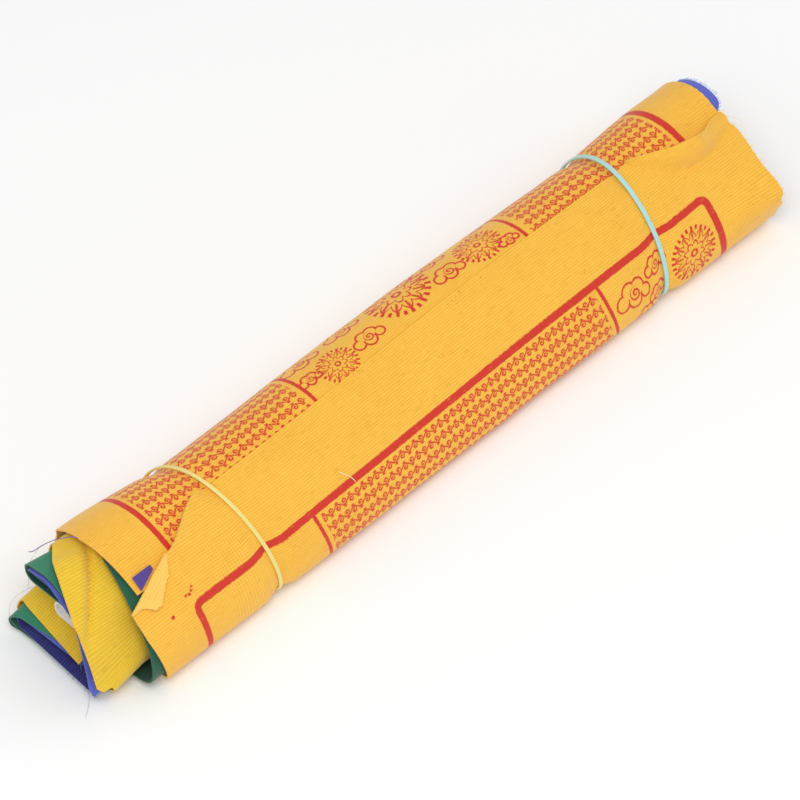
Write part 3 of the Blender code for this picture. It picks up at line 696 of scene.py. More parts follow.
flap = {
    "step": 1.25, "edgeLeft": 5.2, "edgeRight": 1.6, "edgeMean": 3.0, "closeness": 0.75, "closeOver": 11.0,
    "calmOver": 10.0, "earFrom": -84.0, "kneeX": -106.0, "knee": 9.8, "foot": 17.6, "slipLength": 30.0,
    "flareFrom": 96.0, "flareReach": 5.4, "flareMiddle": 35.5, "flareSpread": 6.0, "flarePower": 1.5,
    "raggedFrom": 119.0, "notchDepth": 1.5, "notchPlace": 37.6, "notchSpread": 0.8,
    "raisedFrom": 90.0, "raisedTo": 98.0, "marginBulge": 1.3, "marginPit": 0.75, "marginPitSpread": 1.4,
    "rolledFrom": (83.0, 87.0), "rolledTo": (108.0, 112.0), "rolledLift": 1.1, "rolledOver": 3.2,
}
# How far the left cut edge slips in, in millimetres, at turns from the crest.
slipTurns = (0.0, 0.13, 0.22, 0.35, 0.5, 0.8, 0.885, 0.97, 1.15)
slips = (0.0, 1.8, 2.0, 5.0, 8.0, 10.0, 6.0, 5.0, 6.8)
# The right cut edge's unevenness: the height, the rate and the start of each sine wave.
raggedWaves = ((0.12, 2.3, 0.0), (0.1, 5.1, 1.0))
# The raised right end of the free edge: distance down to the valley fold, and the edge's own place.
marginColumns = ("x", "valley", "edgeY", "edgeZ")
marginRows = (
    (88.0, 2.0, 3.2, 33.9),
    (94.0, 8.0, -1.2, 36.4),
    (100.0, 12.0, -4.6, 36.9),
    (106.0, 14.0, -6.6, 37.6),
    (110.0, 14.2, -7.0, 37.0),
    (114.0, 13.6, -5.2, 34.2),
    (119.0, 12.0, -2.4, 32.0),
    (125.0, 9.5, -0.6, 30.6),
)
margin = {name: np.array([row[i] for row in marginRows]) for i, name in enumerate(marginColumns)}


# The free edge's distance from the crest at x, without the folded corner.
def straightEdge(x):
    return np.interp(x, [-roll["halfLength"], roll["halfLength"]], [flap["edgeLeft"], flap["edgeRight"]])


# The free edge, or the fold of the corner at the left.
def freeEdge(x):
    knee = flap["knee"] * smooth(-x, -flap["earFrom"], -flap["kneeX"])
    foot = (flap["foot"] - flap["knee"]) * np.interp(-x, [-flap["kneeX"], roll["halfLength"]], [0, 1])
    return straightEdge(x) + knee + foot


# A sum of sine waves, each row with its height, its rate and its start.
def waves(at, rows):
    return sum(height * np.sin(at * rate + start) for height, rate, start in rows)


# The lengths of the slow and quick folds and the strengths of all, in millimetres.
wrinkles = {
    "slow": 0.10, "slowLengths": (9.0, 14.0, 11.0, 31.0), "quick": 0.06, "quickLengths": (5.3, 6.1, 17.0),
    "quickStart": 1.0, "endsFrom": 88.0, "endsTo": 122.0, "endsMore": 1.4, "deepest": 0.2,
    "pucker": 0.16, "puckerReach": 4.5, "puckerGap": 1.6, "puckerRate": 1.05, "puckerSwing": 2.0,
    "puckerLength": 7.0,
}


# Small uneven folds: slow waves everywhere, more at both ends, and puckers that fan out of the bands.
def wrinkle(x, arc):
    a, b, c, d = wrinkles["slowLengths"]
    relief = np.sin(x / a + arc / b) * np.sin(arc / c - x / d) * wrinkles["slow"]
    a, b, c = wrinkles["quickLengths"]
    relief = relief + wrinkles["quick"] * np.sin(x / a - arc / b + wrinkles["quickStart"]) * np.sin(x / c)
    atEnds = smooth(np.abs(x), wrinkles["endsFrom"], wrinkles["endsTo"])
    relief = relief * (1 + wrinkles["endsMore"] * atEnds)
    for band in bands:
        away = np.abs(x - band["x"])
        pucker = 1 - np.exp(-((away / wrinkles["puckerGap"]) ** 2))
        pucker = pucker * np.exp(-away / wrinkles["puckerReach"]) * wrinkles["pucker"]
        swing = wrinkles["puckerSwing"] * np.sin(arc / wrinkles["puckerLength"]) + band["x"]
        relief = relief + pucker * np.sin(arc * wrinkles["puckerRate"] + swing)
    return relief


# The golden flag's depth: its free edge lies close on the layer under it, but for the raised margin and
# the part that rolls up beside the folded corner, and small folds lift the rest.
def flapInset(x, arc, along, gridX):
    raised = smooth(x, flap["raisedFrom"], flap["raisedTo"])[None, :]
    rolled = (smooth(-x, *flap["rolledFrom"]) * (1 - smooth(-x, *flap["rolledTo"])))[None, :]
    close = flap["closeness"] * (1 - smooth(along, 0, flap["closeOver"])) * (1 - raised)
    close = close - (flap["closeness"] + flap["rolledLift"]) * rolled * np.exp(-along / flap["rolledOver"])
    relief = wrinkle(gridX, arc) * smooth(along, 0, flap["calmOver"])
    return outerInset(arc) + close - relief * (1 - smooth(-relief, 0, wrinkles["deepest"]))


# The cut edges that fray, in millimetres, each filled in as its flag is made.
edges = {}


# The golden flag: one turn and more round the roll on a grid of x and distance from the crest.
def makeOuterFlag():
    step, end = flap["step"], roll["halfLength"]
    x = np.linspace(-end, end, round(2 * end / step) + 1)
    start = freeEdge(x)[None, :]
    last = girth * round(roll["stations"] * roll["turns"]) / roll["stations"]
    arc = start + np.linspace(0, 1, round(last / step) + 1)[:, None] * (last - start)
    along = arc - start
    slip = np.interp(arc / girth, slipTurns, slips)
    slip = slip * smooth(-x, end - flap["slipLength"], end)[None, :]
    notch = flap["notchDepth"] * np.exp(-(((arc - flap["notchPlace"]) / flap["notchSpread"]) ** 2))
    ragged = (waves(arc, raggedWaves) + notch) * smooth(x, flap["raggedFrom"], end)[None, :] ** 2
    gridX = x[None, :] + slip - ragged
    outer = shaped(gridX, *section(arc, flapInset(x, arc, along, gridX)))
    flare = flap["flareReach"] * smooth(x, flap["flareFrom"], end) ** flap["flarePower"]
    bump = np.exp(-(((arc - flap["flareMiddle"]) / flap["flareSpread"]) ** 2))
    outer = outer + gridNormals(outer, 1) * (flare[None, :] * bump * mm)[..., None]
    outer[..., 2] = np.maximum(outer[..., 2], 0)
    raiseMargin(x, outer, along)
    edges["golden right"], edges["golden left"] = outer[:, -1] / mm, outer[:, 0] / mm
    makeEar(x, arc, outer)
    return clothSheet("golden_flag", outer, gridX - slip, arc - straightEdge(x)[None, :], gold,
                      ["outer_flag"])


# The corner folded over onto the flap: its width in millimetres at shares of the slanting fold, and the
# waves of its cut edge.
ear = {"bend": 0.58, "columns": 90, "lines": 22, "lift": 0.5, "liftPower": 1.4, "widest": 4.8, "least": 0.1,
       "probe": 0.8, "clothFrom": 40.0, "flat": (0.022, 0.01), "area": 0.00011}
earShares, earWidths = (0.0, 0.1, 0.22, 0.45, 0.64, 0.74, 0.84, 1.0), (0.1, 1.4, 3.2, 4.4, 5.4, 4.8, 1.3, 0.1)
earWaves = ((0.10, 61.0, 0.0), (0.06, 143.0, 1.0))


# The flag's surface at any x and distance from the crest, read between the points of its grid.
def surfaceAt(gridX, arc, points, x, away):
    column = np.clip(np.interp(x, gridX, np.arange(len(gridX))), 0, len(gridX) - 1.001)
    left = column.astype(int)
    found = []
    for at in (left, left + 1):
        share = (away - arc[0, at]) / (arc[-1, at] - arc[0, at]) * (len(arc) - 1)
        share = np.clip(share, 0, len(arc) - 1.001)
        low = share.astype(int)
        found.append(points[low, at] + (share - low)[..., None] * (points[low + 1, at] - points[low, at]))
    return found[0] + (column - left)[..., None] * (found[1] - found[0])


# The folded corner: from the slanting fold it bends round half a circle and lies on the flap, as wide
# as its table says, and a little lifted at its cut edge.
def makeEar(x, arc, outer):
    t = np.linspace(0, 1, ear["columns"])[None, :]
    q = np.linspace(0, 1, ear["lines"])[:, None]
    foldX = flap["kneeX"] + t * (-roll["halfLength"] - flap["kneeX"])
    foldArc = freeEdge(foldX)
    run, drop = foldX[0, -1] - foldX[0, 0], foldArc[0, -1] - foldArc[0, 0]
    inX, inArc = drop / math.hypot(run, drop), -run / math.hypot(run, drop)
    width = np.interp(t, earShares, earWidths) + waves(t, earWaves)
    half = math.pi * ear["bend"]
    away = q * (half + np.maximum(width, ear["least"]))
    angle = np.minimum(away / ear["bend"], math.pi)
    flat = np.maximum(away - half, 0)
    lateral = -ear["bend"] * np.sin(angle) + flat
    height = ear["bend"] * (1 - np.cos(angle)) - roll["cloth"]
    height = height + ear["lift"] * (flat / ear["widest"]) ** ear["liftPower"]
    atX, atArc = foldX + np.maximum(lateral, 0) * inX, foldArc + np.maximum(lateral, 0) * inArc
    base = surfaceAt(x, arc, outer, atX, atArc)
    further = surfaceAt(x, arc, outer, atX + ear["probe"] * inX, atArc + ear["probe"] * inArc)
    along = surfaceAt(x, arc, outer, atX + ear["probe"] * inArc, atArc - ear["probe"] * inX)
    inward = further - base
    inward = inward / np.linalg.norm(inward, axis=-1, keepdims=True)
    up = np.cross(inward, along - base)
    up = up / np.linalg.norm(up, axis=-1, keepdims=True)
    if np.mean(up[..., 2]) < 0:
        up = -up
    grid = base + (np.minimum(lateral, 0)[..., None] * inward + height[..., None] * up) * mm
    side = 1 if np.mean(gridNormals(grid, 1)[-1, :, :] * up[-1]) > 0 else -1
    return clothSheet("folded_corner", grid, foldX + 0 * away, ear["clothFrom"] + away, earCloth,
                      [], side)


# Stands the free edge up from its valley fold: each column's top part turns towards the edge's place.
def raiseMargin(x, outer, along):
    normals = gridNormals(outer, 1)
    for column in np.flatnonzero(x > margin["x"][0]):
        at = x[column]
        valley = np.interp(at, margin["x"], margin["valley"])
        ideal = [np.interp(at, margin["x"], margin[name]) for name in ("edgeY", "edgeZ")]
        edge = (np.array([at, *ideal]) + np.array(roll["shift"])) * mm
        down = along[:, column]
        fade = smooth(at, margin["x"][0], margin["x"][2])
        pit = flap["marginPit"] * fade * np.exp(-(((down - valley) / flap["marginPitSpread"]) ** 2))
        line = outer[:, column] - normals[:, column] * pit[:, None] * mm
        hinge = np.array([np.interp(valley, down, line[:, k]) for k in range(3)])
        normal = np.array([np.interp(valley, down, normals[:, column, k]) for k in range(3)])
        share = np.clip(1 - down[:, None] / valley, 0, 1)
        bulge = np.sin(math.pi * share) * flap["marginBulge"] * fade * mm
        stood = hinge + share * (edge - hinge) + normal * bulge
        outer[:, column] = np.where(share > 0, stood, line)


makeOuterFlag()
print("stage: golden flag made")


rim = {
    "greenHidden": -112.0, "greenTop": -119.0, "greenFoot": -125.5, "blueRight": 121.0, "tabRight": 128.5,
    "tabStart": -21.0, "tabEnd": 3.0, "tabSlope": 7.0, "shoulderLeft": -100.35, "shoulderRight": 98.35,
    "lines": 110, "columns": 26,
}
# Where the green turn's edge changes its slant, in shares of a turn from the crest.
greenShares = (0.0, 0.03, 0.35, 0.6, 0.8)


# One turn just inside the golden flag, from a shoulder of the core out to its cut edge.
def makeRimTurn(name, material, node, first, last, nearX, farX):
    arc = np.linspace(first, last, rim["lines"]) * girth / roll["stations"]
    y, z = section(arc, innerInset(arc))
    share = np.linspace(0, 1, rim["columns"])[None, :]
    x = nearX + share * (farX(arc)[:, None] - nearX)
    outer = shaped(x, y[:, None], z[:, None])
    side = 1 if farX(arc)[0] > nearX else -1  # the normals turn over where x runs to the left
    width = float(np.mean(np.abs(farX(arc) - nearX)))
    v = np.broadcast_to(arc[:, None], x.shape)
    return clothSheet(name, outer, x, v, material, [node], side)


# The green turn's left edge slants outwards towards the foot of the front.
def greenEdge(arc):
    places = [rim[name] for name in ("greenHidden", "greenTop", "greenFoot", "greenFoot", "greenHidden")]
    return np.interp(np.mod(arc, girth) / girth, greenShares, places)


# The blue turn's right edge, with the tab that reaches past the golden flag at the back.
def blueEdge(arc):
    tab = smooth(arc, girth + rim["tabStart"] - rim["tabSlope"], girth + rim["tabStart"])
    tab = tab * (1 - smooth(arc, girth + rim["tabEnd"], girth + rim["tabEnd"] + rim["tabSlope"]))
    return rim["blueRight"] + tab * (rim["tabRight"] - rim["blueRight"])


makeRimTurn("green_rim", shadedGreen, "green_turn", 0, 35, rim["shoulderLeft"], greenEdge)
makeRimTurn("blue_rim", blue, "blue_turn", 3, 38, rim["shoulderRight"], blueEdge)
print("stage: rim turns made")


# The core: three flags wound as spirals, each turn one pitch inside the last, stepping in at the ends.
core = {"left": -112.0, "right": 121.0, "firstInset": 3.1, "pitch": 1.35, "deepest": 11.0, "steps": 90,
        "columns": 60, "rest": 0.02, "middle": (0.5, 15.0), "heart": 13.0, "leftShare": 0.8}
coreColumns = ("name", "material", "slot", "from", "turns", "in")
coreRows = (
    ("core_red_flag", red, "golden_cloth", 0.0, 1.6, 1.5),
    ("core_white_flag", white, "white_cloth", 1.6, 2.0, 3.2),
    ("core_yellow_flag", lemon, "yellow_cloth", 3.6, 2.2, 2.2),
)


# A spiral flag: its inset grows evenly with the turn, and past the deepest section it shrinks about
# the section's middle instead.
def makeCoreFlag(setting):
    lines = round(core["steps"] * setting["turns"])
    turn = setting["from"] + np.linspace(core["rest"], setting["turns"] - core["rest"], lines)
    arc = turn * girth
    depth = core["firstInset"] + core["pitch"] * turn + (innerInset(arc) - roll["pitch"])
    path = np.stack(section(arc, np.minimum(depth, core["deepest"])), axis=1)
    shrink = 1 - np.maximum(0, depth - core["deepest"]) / core["heart"]
    middle = np.array(core["middle"])
    path = middle + (path - middle) * shrink[:, None]
    left = core["left"] + setting["in"] * core["leftShare"]
    right = core["right"] - setting["in"]
    x = np.linspace(left, right, core["columns"])[None, :]
    v = runAlong(path)
    nodes = ["wound_core"] if setting["from"] == 0 else []
    clothSheet(setting["name"], shaped(x, path[:, :1], path[:, 1:]), x, v[:, None], setting["material"],
               nodes)


for row in coreRows:
    makeCoreFlag(dict(zip(coreColumns, row)))
print("stage: wound core made")


# The bundle of three inner flags: the corners that the outermost one follows, with round bends.
bundle = {"right": -112.35, "spreadFrom": -123.0, "spreadLength": 15.0, "spreadShare": 0.03,
          "columns": 30, "step": 0.8, "bendStep": 6.0}
# How far each height of the bundle rises or sinks over the spread's length.
spreadHeights, spreadRises = (3.1, 13.0, 18.4, 29.1), (-2.4, -5.0, 1.6, 2.6)
bundleColumns = ("fold", "y", "z", "radius", "yellow", "green", "blue")
bundleRows = (
    ("upper tuck", -3.0, 18.4, 0.0, -124.0, -133.0, -131.5),
    ("upper back low", 18.4, 18.4, 4.6, -124.0, -133.5, -132.5),
    ("upper back high", 16.4, 27.8, 4.6, -123.5, -134.0, -134.5),
    ("crest", 5.6, 30.4, 10.0, -132.0, -134.2, -134.8),
    ("shoulder", -7.6, 24.6, 14.0, -138.5, -134.6, -136.0),
    ("front", -16.3, 13.0, 20.0, -138.9, -135.5, -139.8),
    ("front foot", -20.6, 3.1, 5.0, -133.6, -134.8, -139.0),
    ("back foot", 20.3, 3.1, 4.8, -134.0, -138.2, -136.5),
    ("lower back high", 20.3, 12.8, 4.8, -133.0, -138.0, -136.5),
    ("lower tuck", -7.0, 13.0, 0.0, -137.0, -134.0, -135.5),
)


# A path through the rows' corners: straight runs joined by arcs that all turn left, moved to its left
# by the offset, with each point's place counted in rows.
def bentPath(rows, offset):
    corners = np.array([[row["y"], row["z"]] for row in rows])
    radii = [row["radius"] for row in rows]
    points, place = [], []
    for k, corner in enumerate(corners):
        ahead = corners[min(k + 1, len(rows) - 1)] - corners[min(k, len(rows) - 2)]
        behind = corners[max(k, 1)] - corners[max(k - 1, 0)]
        ahead, behind = ahead / np.linalg.norm(ahead), behind / np.linalg.norm(behind)
        if radii[k] == 0:
            points.append(corner[None, :] + offset * np.array([[-ahead[1], ahead[0]]]))
            place.append(np.array([float(k)]))
            continue
        turn = math.atan2(behind[0] * ahead[1] - behind[1] * ahead[0], behind @ ahead)
        left = np.array([-behind[1], behind[0]])
        centre = corner - radii[k] * math.tan(turn / 2) * behind + radii[k] * left
        count = max(3, math.ceil(abs(turn) / math.radians(bundle["bendStep"])))
        angle = turn * np.linspace(0, 1, count)
        out = -(radii[k] - offset) * left
        bend = np.stack([np.cos(angle) * out[0] - np.sin(angle) * out[1],
                         np.sin(angle) * out[0] + np.cos(angle) * out[1]], axis=1)
        points.append(centre + bend)
        place.append(k - 0.25 + 0.5 * angle / turn)
    return np.concatenate(points), np.concatenate(place)


# A bent path read at even steps: its y and z, the distance run, and the place counted in rows.
def evenPath(rows, offset, lines=None):
    points, place = bentPath(rows, offset)
    run = runAlong(points)
    even = np.linspace(0, run[-1], lines or round(run[-1] / bundle["step"]))
    y, z, where = (np.interp(even, run, line) for line in (points[:, 0], points[:, 1], place))
    return y, z, even, where


# Where the bundle leaves the roll its two lobes part, in proportion to the distance.
def spreadOut(x, y, z):
    share = np.maximum(0, bundle["spreadFrom"] - x) / bundle["spreadLength"]
    y = (1 + bundle["spreadShare"] * share) * y
    z = z + np.interp(z, spreadHeights, spreadRises) * share
    return shaped(x, y, z)


# The crease across the outermost flag of the bundle: its sizes in millimetres, the rows that it runs
# over, and its line as x at places counted in rows.
crease = {"depth": 1.6, "spread": 0.95, "lift": 0.9, "liftFrom": 1.0, "liftTo": 4.0, "from": 2.6, "to": 4.7,
          "fadeIn": 0.4, "fadeOut": 0.7}
creasePlaces = (2.5, 3.0, 3.4, 3.8, 4.2, 4.6)
creaseLine = (-116.5, -119.5, -123.5, -129.0, -134.0, -138.5)


# A sheet with the crease in it: a valley of the depth exp(-(distance / spread)^2) along its slanting
# line, with the cloth on its left standing up a little.
def creased(outer, x, where):
    away = x - np.interp(where, creasePlaces, creaseLine)[:, None]
    reach = smooth(where, crease["from"], crease["from"] + crease["fadeIn"])
    reach = reach * (1 - smooth(where, crease["to"] - crease["fadeOut"], crease["to"]))
    valley = -crease["depth"] * np.exp(-((away / crease["spread"]) ** 2))
    lift = crease["lift"] * smooth(-away, crease["liftFrom"], crease["liftTo"])
    return outer + gridNormals(outer, -1) * ((valley + lift) * reach[:, None] * mm)[..., None]


# One flag of the bundle: its path carried along x to its own slanting left edge.
def makeBundleFlag(name, layer, column, material, node):
    rows = [dict(zip(bundleColumns, row)) for row in bundleRows]
    y, z, even, where = evenPath(rows, layer * roll["pitch"])
    left = np.interp(where, np.arange(len(rows)), [row[column] for row in rows])
    share = np.linspace(0, 1, bundle["columns"])[None, :]
    x = bundle["right"] + share * (left[:, None] - bundle["right"])
    outer = spreadOut(x, y[:, None], z[:, None])
    if name == "yellow_bundle":
        outer = creased(outer, x, where)
    edges[name] = outer[:, -1] / mm
    return clothSheet(name, outer, x, even[:, None], material, [node], -1)


makeBundleFlag("yellow_bundle", 0, "yellow", lemon, "yellow_flag")
makeBundleFlag("green_bundle", 1, "green", green, "green_flag")
makeBundleFlag("blue_bundle", 2, "blue", blue, "blue_flag")
print("stage: bundle made")


whiteFold = {"left": -131.0, "lines": 44, "columns": 20}
whiteRows = (("low end", -7.5, 13.7, 0.0), ("low back", 8.0, 13.7, 1.65), ("high back", 8.0, 17.0, 1.65),
             ("high end", -7.5, 17.0, 0.0))


# The small white fold between the two tucks.
def makeWhiteFold():
    rows = [dict(zip(bundleColumns, row)) for row in whiteRows]
    y, z, even, _ = evenPath(rows, 0.0, whiteFold["lines"])
    x = np.linspace(bundle["right"], whiteFold["left"], whiteFold["columns"])[None, :]
    clothSheet("white_fold", spreadOut(x, y[:, None], z[:, None]), x, even[:, None], white,
               ["white_flag"], -1)


makeWhiteFold()

scrap = {"from": -117.0, "to": -110.5, "start": 14.5, "gap": 0.7, "inset": 0.2, "lines": 8, "columns": 14,
         "flat": (0.01, 0.01), "area": 0.00003}


# The blue corner beside the folded corner of the golden flag.
def makeScrap():
    x = np.linspace(scrap["from"], scrap["to"], scrap["columns"])[None, :]
    share = np.linspace(0, 1, scrap["lines"])[:, None]
    arc = scrap["start"] + share * (freeEdge(x) - scrap["gap"] - scrap["start"])
    x = np.broadcast_to(x, arc.shape)
    side = -1 if arc[-1, 0] < arc[0, 0] else 1
    clothSheet("blue_corner", shaped(x, *section(arc, scrap["inset"])), x, arc, violet,
               ["blue_scrap"], side)


makeScrap()
print("stage: white fold and blue corner made")


bandShape = {"steps": 240, "gap": 0.12, "sides": 12}


# A rubber band: a rounded strip, |a|^4 + |b|^4 = 1 across, swept round the groove in the section.
def makeBand(band):
    arc = np.linspace(0, girth, bandShape["steps"], endpoint=False)
    turn = np.linspace(0, 2 * math.pi, bandShape["sides"], endpoint=False)
    across = np.sign(np.cos(turn)) * np.abs(np.cos(turn)) ** 0.5 / 2
    out = 0.5 + np.sign(np.sin(turn)) * np.abs(np.sin(turn)) ** 0.5 / 2
    y, z = section(arc, 0.0)
    rings = []
    for side, rise in zip(across, out):
        at = shaped(band["x"] + side * band["width"], y, z)
        tangent = np.roll(at, -1, axis=0) - np.roll(at, 1, axis=0)
        normal = np.stack([np.zeros(len(arc)), tangent[:, 2], -tangent[:, 1]], axis=1)
        normal = normal / np.linalg.norm(normal, axis=1, keepdims=True)
        rings.append(at + normal * (bandShape["gap"] + rise * band["thickness"]) * mm)
    points = np.stack(rings)
    index = np.arange(len(turn) * len(arc)).reshape(len(turn), len(arc))
    nextSide, nextStep = np.roll(index, -1, axis=0), np.roll(index, -1, axis=1)
    corner = np.roll(nextSide, -1, axis=1)
    faces = np.stack([index, nextStep, corner, nextSide], axis=-1).reshape(-1, 4)
    place = np.zeros(points.shape)
    place[..., 0] = (across * band["width"] * mm)[:, None]
    place[..., 1] = arc[None, :] * mm
    material = rubberMaterial(band["name"], band["colour"])
    piece = newPiece(band["name"], points, faces, place.reshape(-1, 3), [material])
    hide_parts(band["node"])


for band in bands:
    makeBand(band)
print("stage: rubber bands made")


# Loose threads, each a few points in millimetres from the roll's foot: in the air, then over the cloth.
looseThreads = {
    "purple": ((-123.3, 22.5, 26.0), (-123.4, 20.9, 27.0), (-120.4, 19.1, 29.5), (-117.6, 17.2, 31.0),
               (-115.0, 13.3, 33.5), (-114.4, 11.1, 34.5), (-113.7, 8.6, 33.5)),
    "whiteTip": ((-115.5, -13.4, 22.6), (-115.6, -13.6, 20.0), (-115.6, -13.4, 18.0)),
    "whiteSide": ((-113.6, -17.0, 11.0), (-114.0, -17.9, 9.0), (-114.9, -18.7, 6.0)),
    "backFine": ((-119.6, 20.5, 28.0), (-124.3, 20.0, 26.0), (-125.0, 21.3, 20.0), (-125.7, 19.8, 18.0),
                 (-127.7, 18.6, 16.0)),
    "loop": ((-123.9, 13.4, 20.0), (-127.6, 17.8, 18.0), (-132.2, 19.5, 16.0), (-135.0, 18.6, 14.0),
             (-136.7, 16.0, 12.0), (-135.8, 13.3, 11.0)),
    "hanging": ((-130.8, 2.2, 14.0), (-131.2, 0.5, 10.0), (-129.6, -1.7, 6.0), (-128.9, -3.6, 3.0),
                (-131.4, -10.7, 1.6), (-132.0, -15.0, 0.5)),
    "long": ((-125.5, -1.1, 4.0), (-130.8, -5.6, 3.0), (-133.0, -12.0, 1.2), (-136.8, -15.0, 0.5),
             (-138.9, -16.4, 0.3)),
    "stray": ((-127.0, -3.3, 12.0), (-128.7, -3.3, 9.0), (-130.6, -6.0, 5.0)),
    "onBorder": ((-41.0, -16.0, 23.7), (-39.5, -17.3, 22.3), (-38.0, -18.6, 20.7), (-37.5, -19.8, 19.1)),
    "rightTop": ((130.4, -3.0, 30.7), (131.8, -5.0, 31.0), (132.4, -7.6, 30.9), (132.0, -9.0, 30.9)),
    "rightNear": ((130.4, -5.9, 29.9), (131.2, -8.0, 30.4), (130.8, -10.6, 30.6), (129.8, -12.4, 30.8)),
    "rightLow": ((130.4, -24.4, 10.5), (131.4, -25.6, 9.6), (131.5, -26.8, 9.4)),
}
# The pieces that they make: colour, slot, steps, and each thread's name and radius in millimetres.
threadPieces = (
    ("fine_threads", (0.35, 0.36, 0.45), "blue_cloth", 22,
     (("backFine", 0.05), ("loop", 0.05), ("hanging", 0.05), ("long", 0.05), ("stray", 0.05))),
    ("purple_thread", (0.22, 0.16, 0.42), "blue_cloth", 30, (("purple", 0.14),)),
    ("pale_threads", (0.90, 0.80, 0.52), "golden_cloth", 12,
     (("whiteTip", 0.13), ("whiteSide", 0.13), ("onBorder", 0.13), ("rightTop", 0.09), ("rightNear", 0.09),
      ("rightLow", 0.09))),
)
threadShape = {"sides": 4, "smoothings": 3, "taper": 0.6, "tip": 0.15, "aside": (0.31, 0.17, 0.94),
               "roughness": 0.8}


# A tube with pointed ends: points spread evenly along the given ones, then smoothed.
def threadTube(points, radius, steps):
    points = np.asarray(points, float)
    run = runAlong(points)
    even = np.linspace(0, run[-1], steps)
    path = np.stack([np.interp(even, run, points[:, k]) for k in range(3)], axis=1)
    for _ in range(threadShape["smoothings"]):
        path[1:-1] = (path[:-2] + path[1:-1] * 2 + path[2:]) / 4
    ahead = np.gradient(path, axis=0)
    ahead = ahead / np.linalg.norm(ahead, axis=1, keepdims=True)
    first = np.cross(ahead, threadShape["aside"])
    first = first / np.linalg.norm(first, axis=1, keepdims=True)
    second = np.cross(ahead, first)
    turn = np.linspace(0, 2 * math.pi, threadShape["sides"], endpoint=False)
    fromEnd = np.minimum(np.arange(steps), np.arange(steps)[::-1])
    size = radius * np.minimum(1, fromEnd * threadShape["taper"] + threadShape["tip"])
    ring = np.cos(turn)[None, :, None] * first[:, None] + np.sin(turn)[None, :, None] * second[:, None]
    tube = path[:, None] + ring * size[:, None, None]
    index = np.arange(steps * len(turn)).reshape(steps, len(turn))
    following = np.roll(index, -1, axis=1)
    faces = np.stack([index[:-1], following[:-1], following[1:], index[1:]], axis=-1).reshape(-1, 4)
    ends = np.stack([index[0, ::-1], index[-1]])
    return tube.reshape(-1, 3) * mm, np.concatenate([faces, ends])


# Many tubes joined into one piece.
def threadPiece(name, colour, tubes):
    offset, points, faces = 0, [], []
    for tubePoints, tubeFaces in tubes:
        points.append(tubePoints)
        faces.append(tubeFaces + offset)
        offset += len(tubePoints)
    points = np.concatenate(points)
    material = plainMaterial(name, colour, threadShape["roughness"])
    newPiece(name, points, np.concatenate(faces), np.zeros((len(points), 3)), [material])


for name, colour, slot, steps, threads in threadPieces:
    tubes = [threadTube(looseThreads[thread], radius, steps) for thread, radius in threads]
    threadPiece(name, colour, tubes)


# The frayed ends of each cut edge: reach, radius and slant, the first two in millimetres.
frays = {
    "tab": {"reach": 1.6, "radius": 0.12, "slant": 0.1},
    "golden right": {"reach": 1.0, "radius": 0.075, "slant": 0.28},
    "golden left": {"reach": 0.6, "radius": 0.05, "slant": 0.28},
    "yellow_bundle": {"reach": 0.5, "radius": 0.05, "slant": 0.28},
    "blue_bundle": {"reach": 0.9, "radius": 0.06, "slant": 0.28},
}
frayShape = {"steps": 6, "shortest": 0.5, "longest": 1.15, "bend": 0.06, "root": 0.4, "pitch": 0.72,
             "past": 8.0, "goldenRight": slice(0, 38), "goldenLeft": slice(2, 24, 2)}


# Short frayed ends: from each place on a cut edge a thread runs outwards with a random slant.
def frayed(places, outward, fray):
    outward = np.array([outward, 0.0, 0.0])
    tubes = []
    for place in places:
        slant = dice.normal(0, fray["slant"], 3)
        reach = fray["reach"] * dice.uniform(frayShape["shortest"], frayShape["longest"])
        far = place + (outward + slant) * reach
        middle = (place + far) / 2 + dice.normal(0, frayShape["bend"], 3)
        tubes.append(threadTube([place - outward * frayShape["root"], middle, far], fray["radius"],
                                frayShape["steps"]))
    return tubes


# Every second point of an edge between two twentieths of its length.
def stretchOf(edge, first, last):
    return edge[len(edge) * first // 20:len(edge) * last // 20:2]


# The frayed edges: the blue tab, both ends of the golden flag, and the bundle's lemon and blue flags.
def makeFrays():
    arc = np.arange(girth + rim["tabStart"], girth + rim["tabEnd"] + frayShape["past"], frayShape["pitch"])
    edges["tab"] = shaped(blueEdge(arc), *section(arc, innerInset(arc) + roll["cloth"] / 2)) / mm
    threadPiece("tab_fringe", (0.20, 0.25, 0.75), frayed(edges["tab"], 1.0, frays["tab"]))
    golden = frayed(edges["golden right"][frayShape["goldenRight"]], 1.0, frays["golden right"])
    golden += frayed(edges["golden left"][frayShape["goldenLeft"]], -1.0, frays["golden left"])
    threadPiece("golden_frays", (0.90, 0.58, 0.12), golden)
    lemonEnds = frayed(stretchOf(edges["yellow_bundle"], 5, 10), -1.0, frays["yellow_bundle"])
    threadPiece("lemon_frays", (0.90, 0.62, 0.08), lemonEnds)
    blueEnds = frayed(stretchOf(edges["blue_bundle"], 5, 12), -1.0, frays["blue_bundle"])
    threadPiece("blue_frays", (0.10, 0.12, 0.50), blueEnds)


makeFrays()
print("stage: threads made")


view = {"azimuth": -44.6, "elevation": 50.0, "distance": 1.60, "scale": 3495.0, "sensor": 36.0,
        "imageSide": 800, "targetZ": 0.0166, "right": -0.0006, "down": 0.0061, "clipEnd": 20.0}


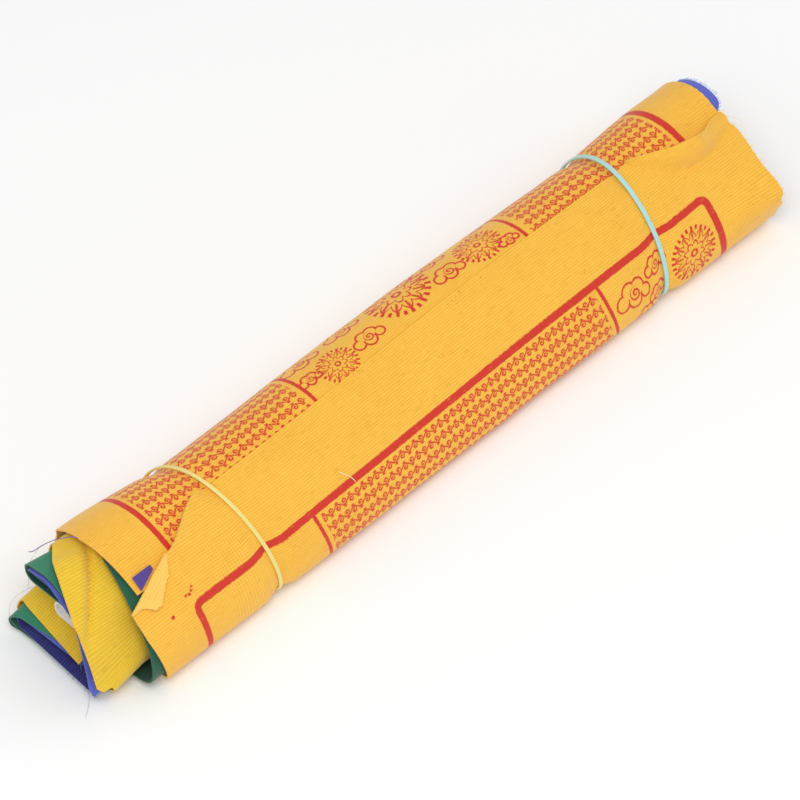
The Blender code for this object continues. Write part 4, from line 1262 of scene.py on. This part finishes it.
# The camera at the photograph's angle: its back vector is (sin a cos e, -cos a cos e, sin e).
def makeCamera():
    azimuth, elevation = math.radians(view["azimuth"]), math.radians(view["elevation"])
    back = Vector((math.sin(azimuth) * math.cos(elevation), -math.cos(azimuth) * math.cos(elevation),
                   math.sin(elevation)))
    right = Vector((math.cos(azimuth), math.sin(azimuth), 0))
    up = back.cross(right)
    target = Vector((0, 0, view["targetZ"])) + right * view["right"] - up * view["down"]
    camera = bpy.data.cameras.new("camera")
    camera.sensor_width = view["sensor"]
    camera.lens = view["scale"] * view["distance"] / view["imageSide"] * view["sensor"]
    camera.clip_end = view["clipEnd"]
    holder = bpy.data.objects.new("camera", camera)
    placement = Matrix((right, up, back)).transposed().to_4x4()
    placement.translation = target + back * view["distance"]
    holder.matrix_world = placement
    bpy.context.scene.collection.objects.link(holder)
    bpy.context.scene.camera = holder


studio = {
    "floorSide": 4.0, "floorColour": (0.99, 0.99, 0.99), "floorRoughness": 0.9, "sky": 0.60,
    "lights": (("keyLight", (-0.5, -0.5, 1.3), 0.9, 9.5), ("fillLight", (0.9, -0.3, 1.0), 1.2, 2.0)),
}


# A plain pale floor, a soft even sky, and two large soft lights.
def makeStudio():
    mesh = bpy.data.meshes.new("floor")
    side = studio["floorSide"]
    corners = [(-side, -side, 0), (side, -side, 0), (side, side, 0), (-side, side, 0)]
    mesh.from_pydata(corners, [], [(0, 1, 2, 3)])
    mesh.materials.append(plainMaterial("floor", studio["floorColour"], studio["floorRoughness"]))
    floor = bpy.data.objects.new("floor", mesh)
    bpy.context.scene.collection.objects.link(floor)
    world = bpy.data.worlds.new("studio")
    world.use_nodes = True
    background = world.node_tree.nodes["Background"]
    background.inputs[0].default_value = (1, 1, 1, 1)
    background.inputs[1].default_value = studio["sky"]
    bpy.context.scene.world = world
    for name, place, size, power in studio["lights"]:
        lamp = bpy.data.lights.new(name, "AREA")
        lamp.size, lamp.energy = size, power
        holder = bpy.data.objects.new(name, lamp)
        holder.location = place
        holder.rotation_euler = (-Vector(place)).to_track_quat("-Z", "Y").to_euler()
        bpy.context.scene.collection.objects.link(holder)
    bpy.context.scene.view_settings.view_transform = "Standard"


makeCamera()
makeStudio()
print("stage: camera and light made")
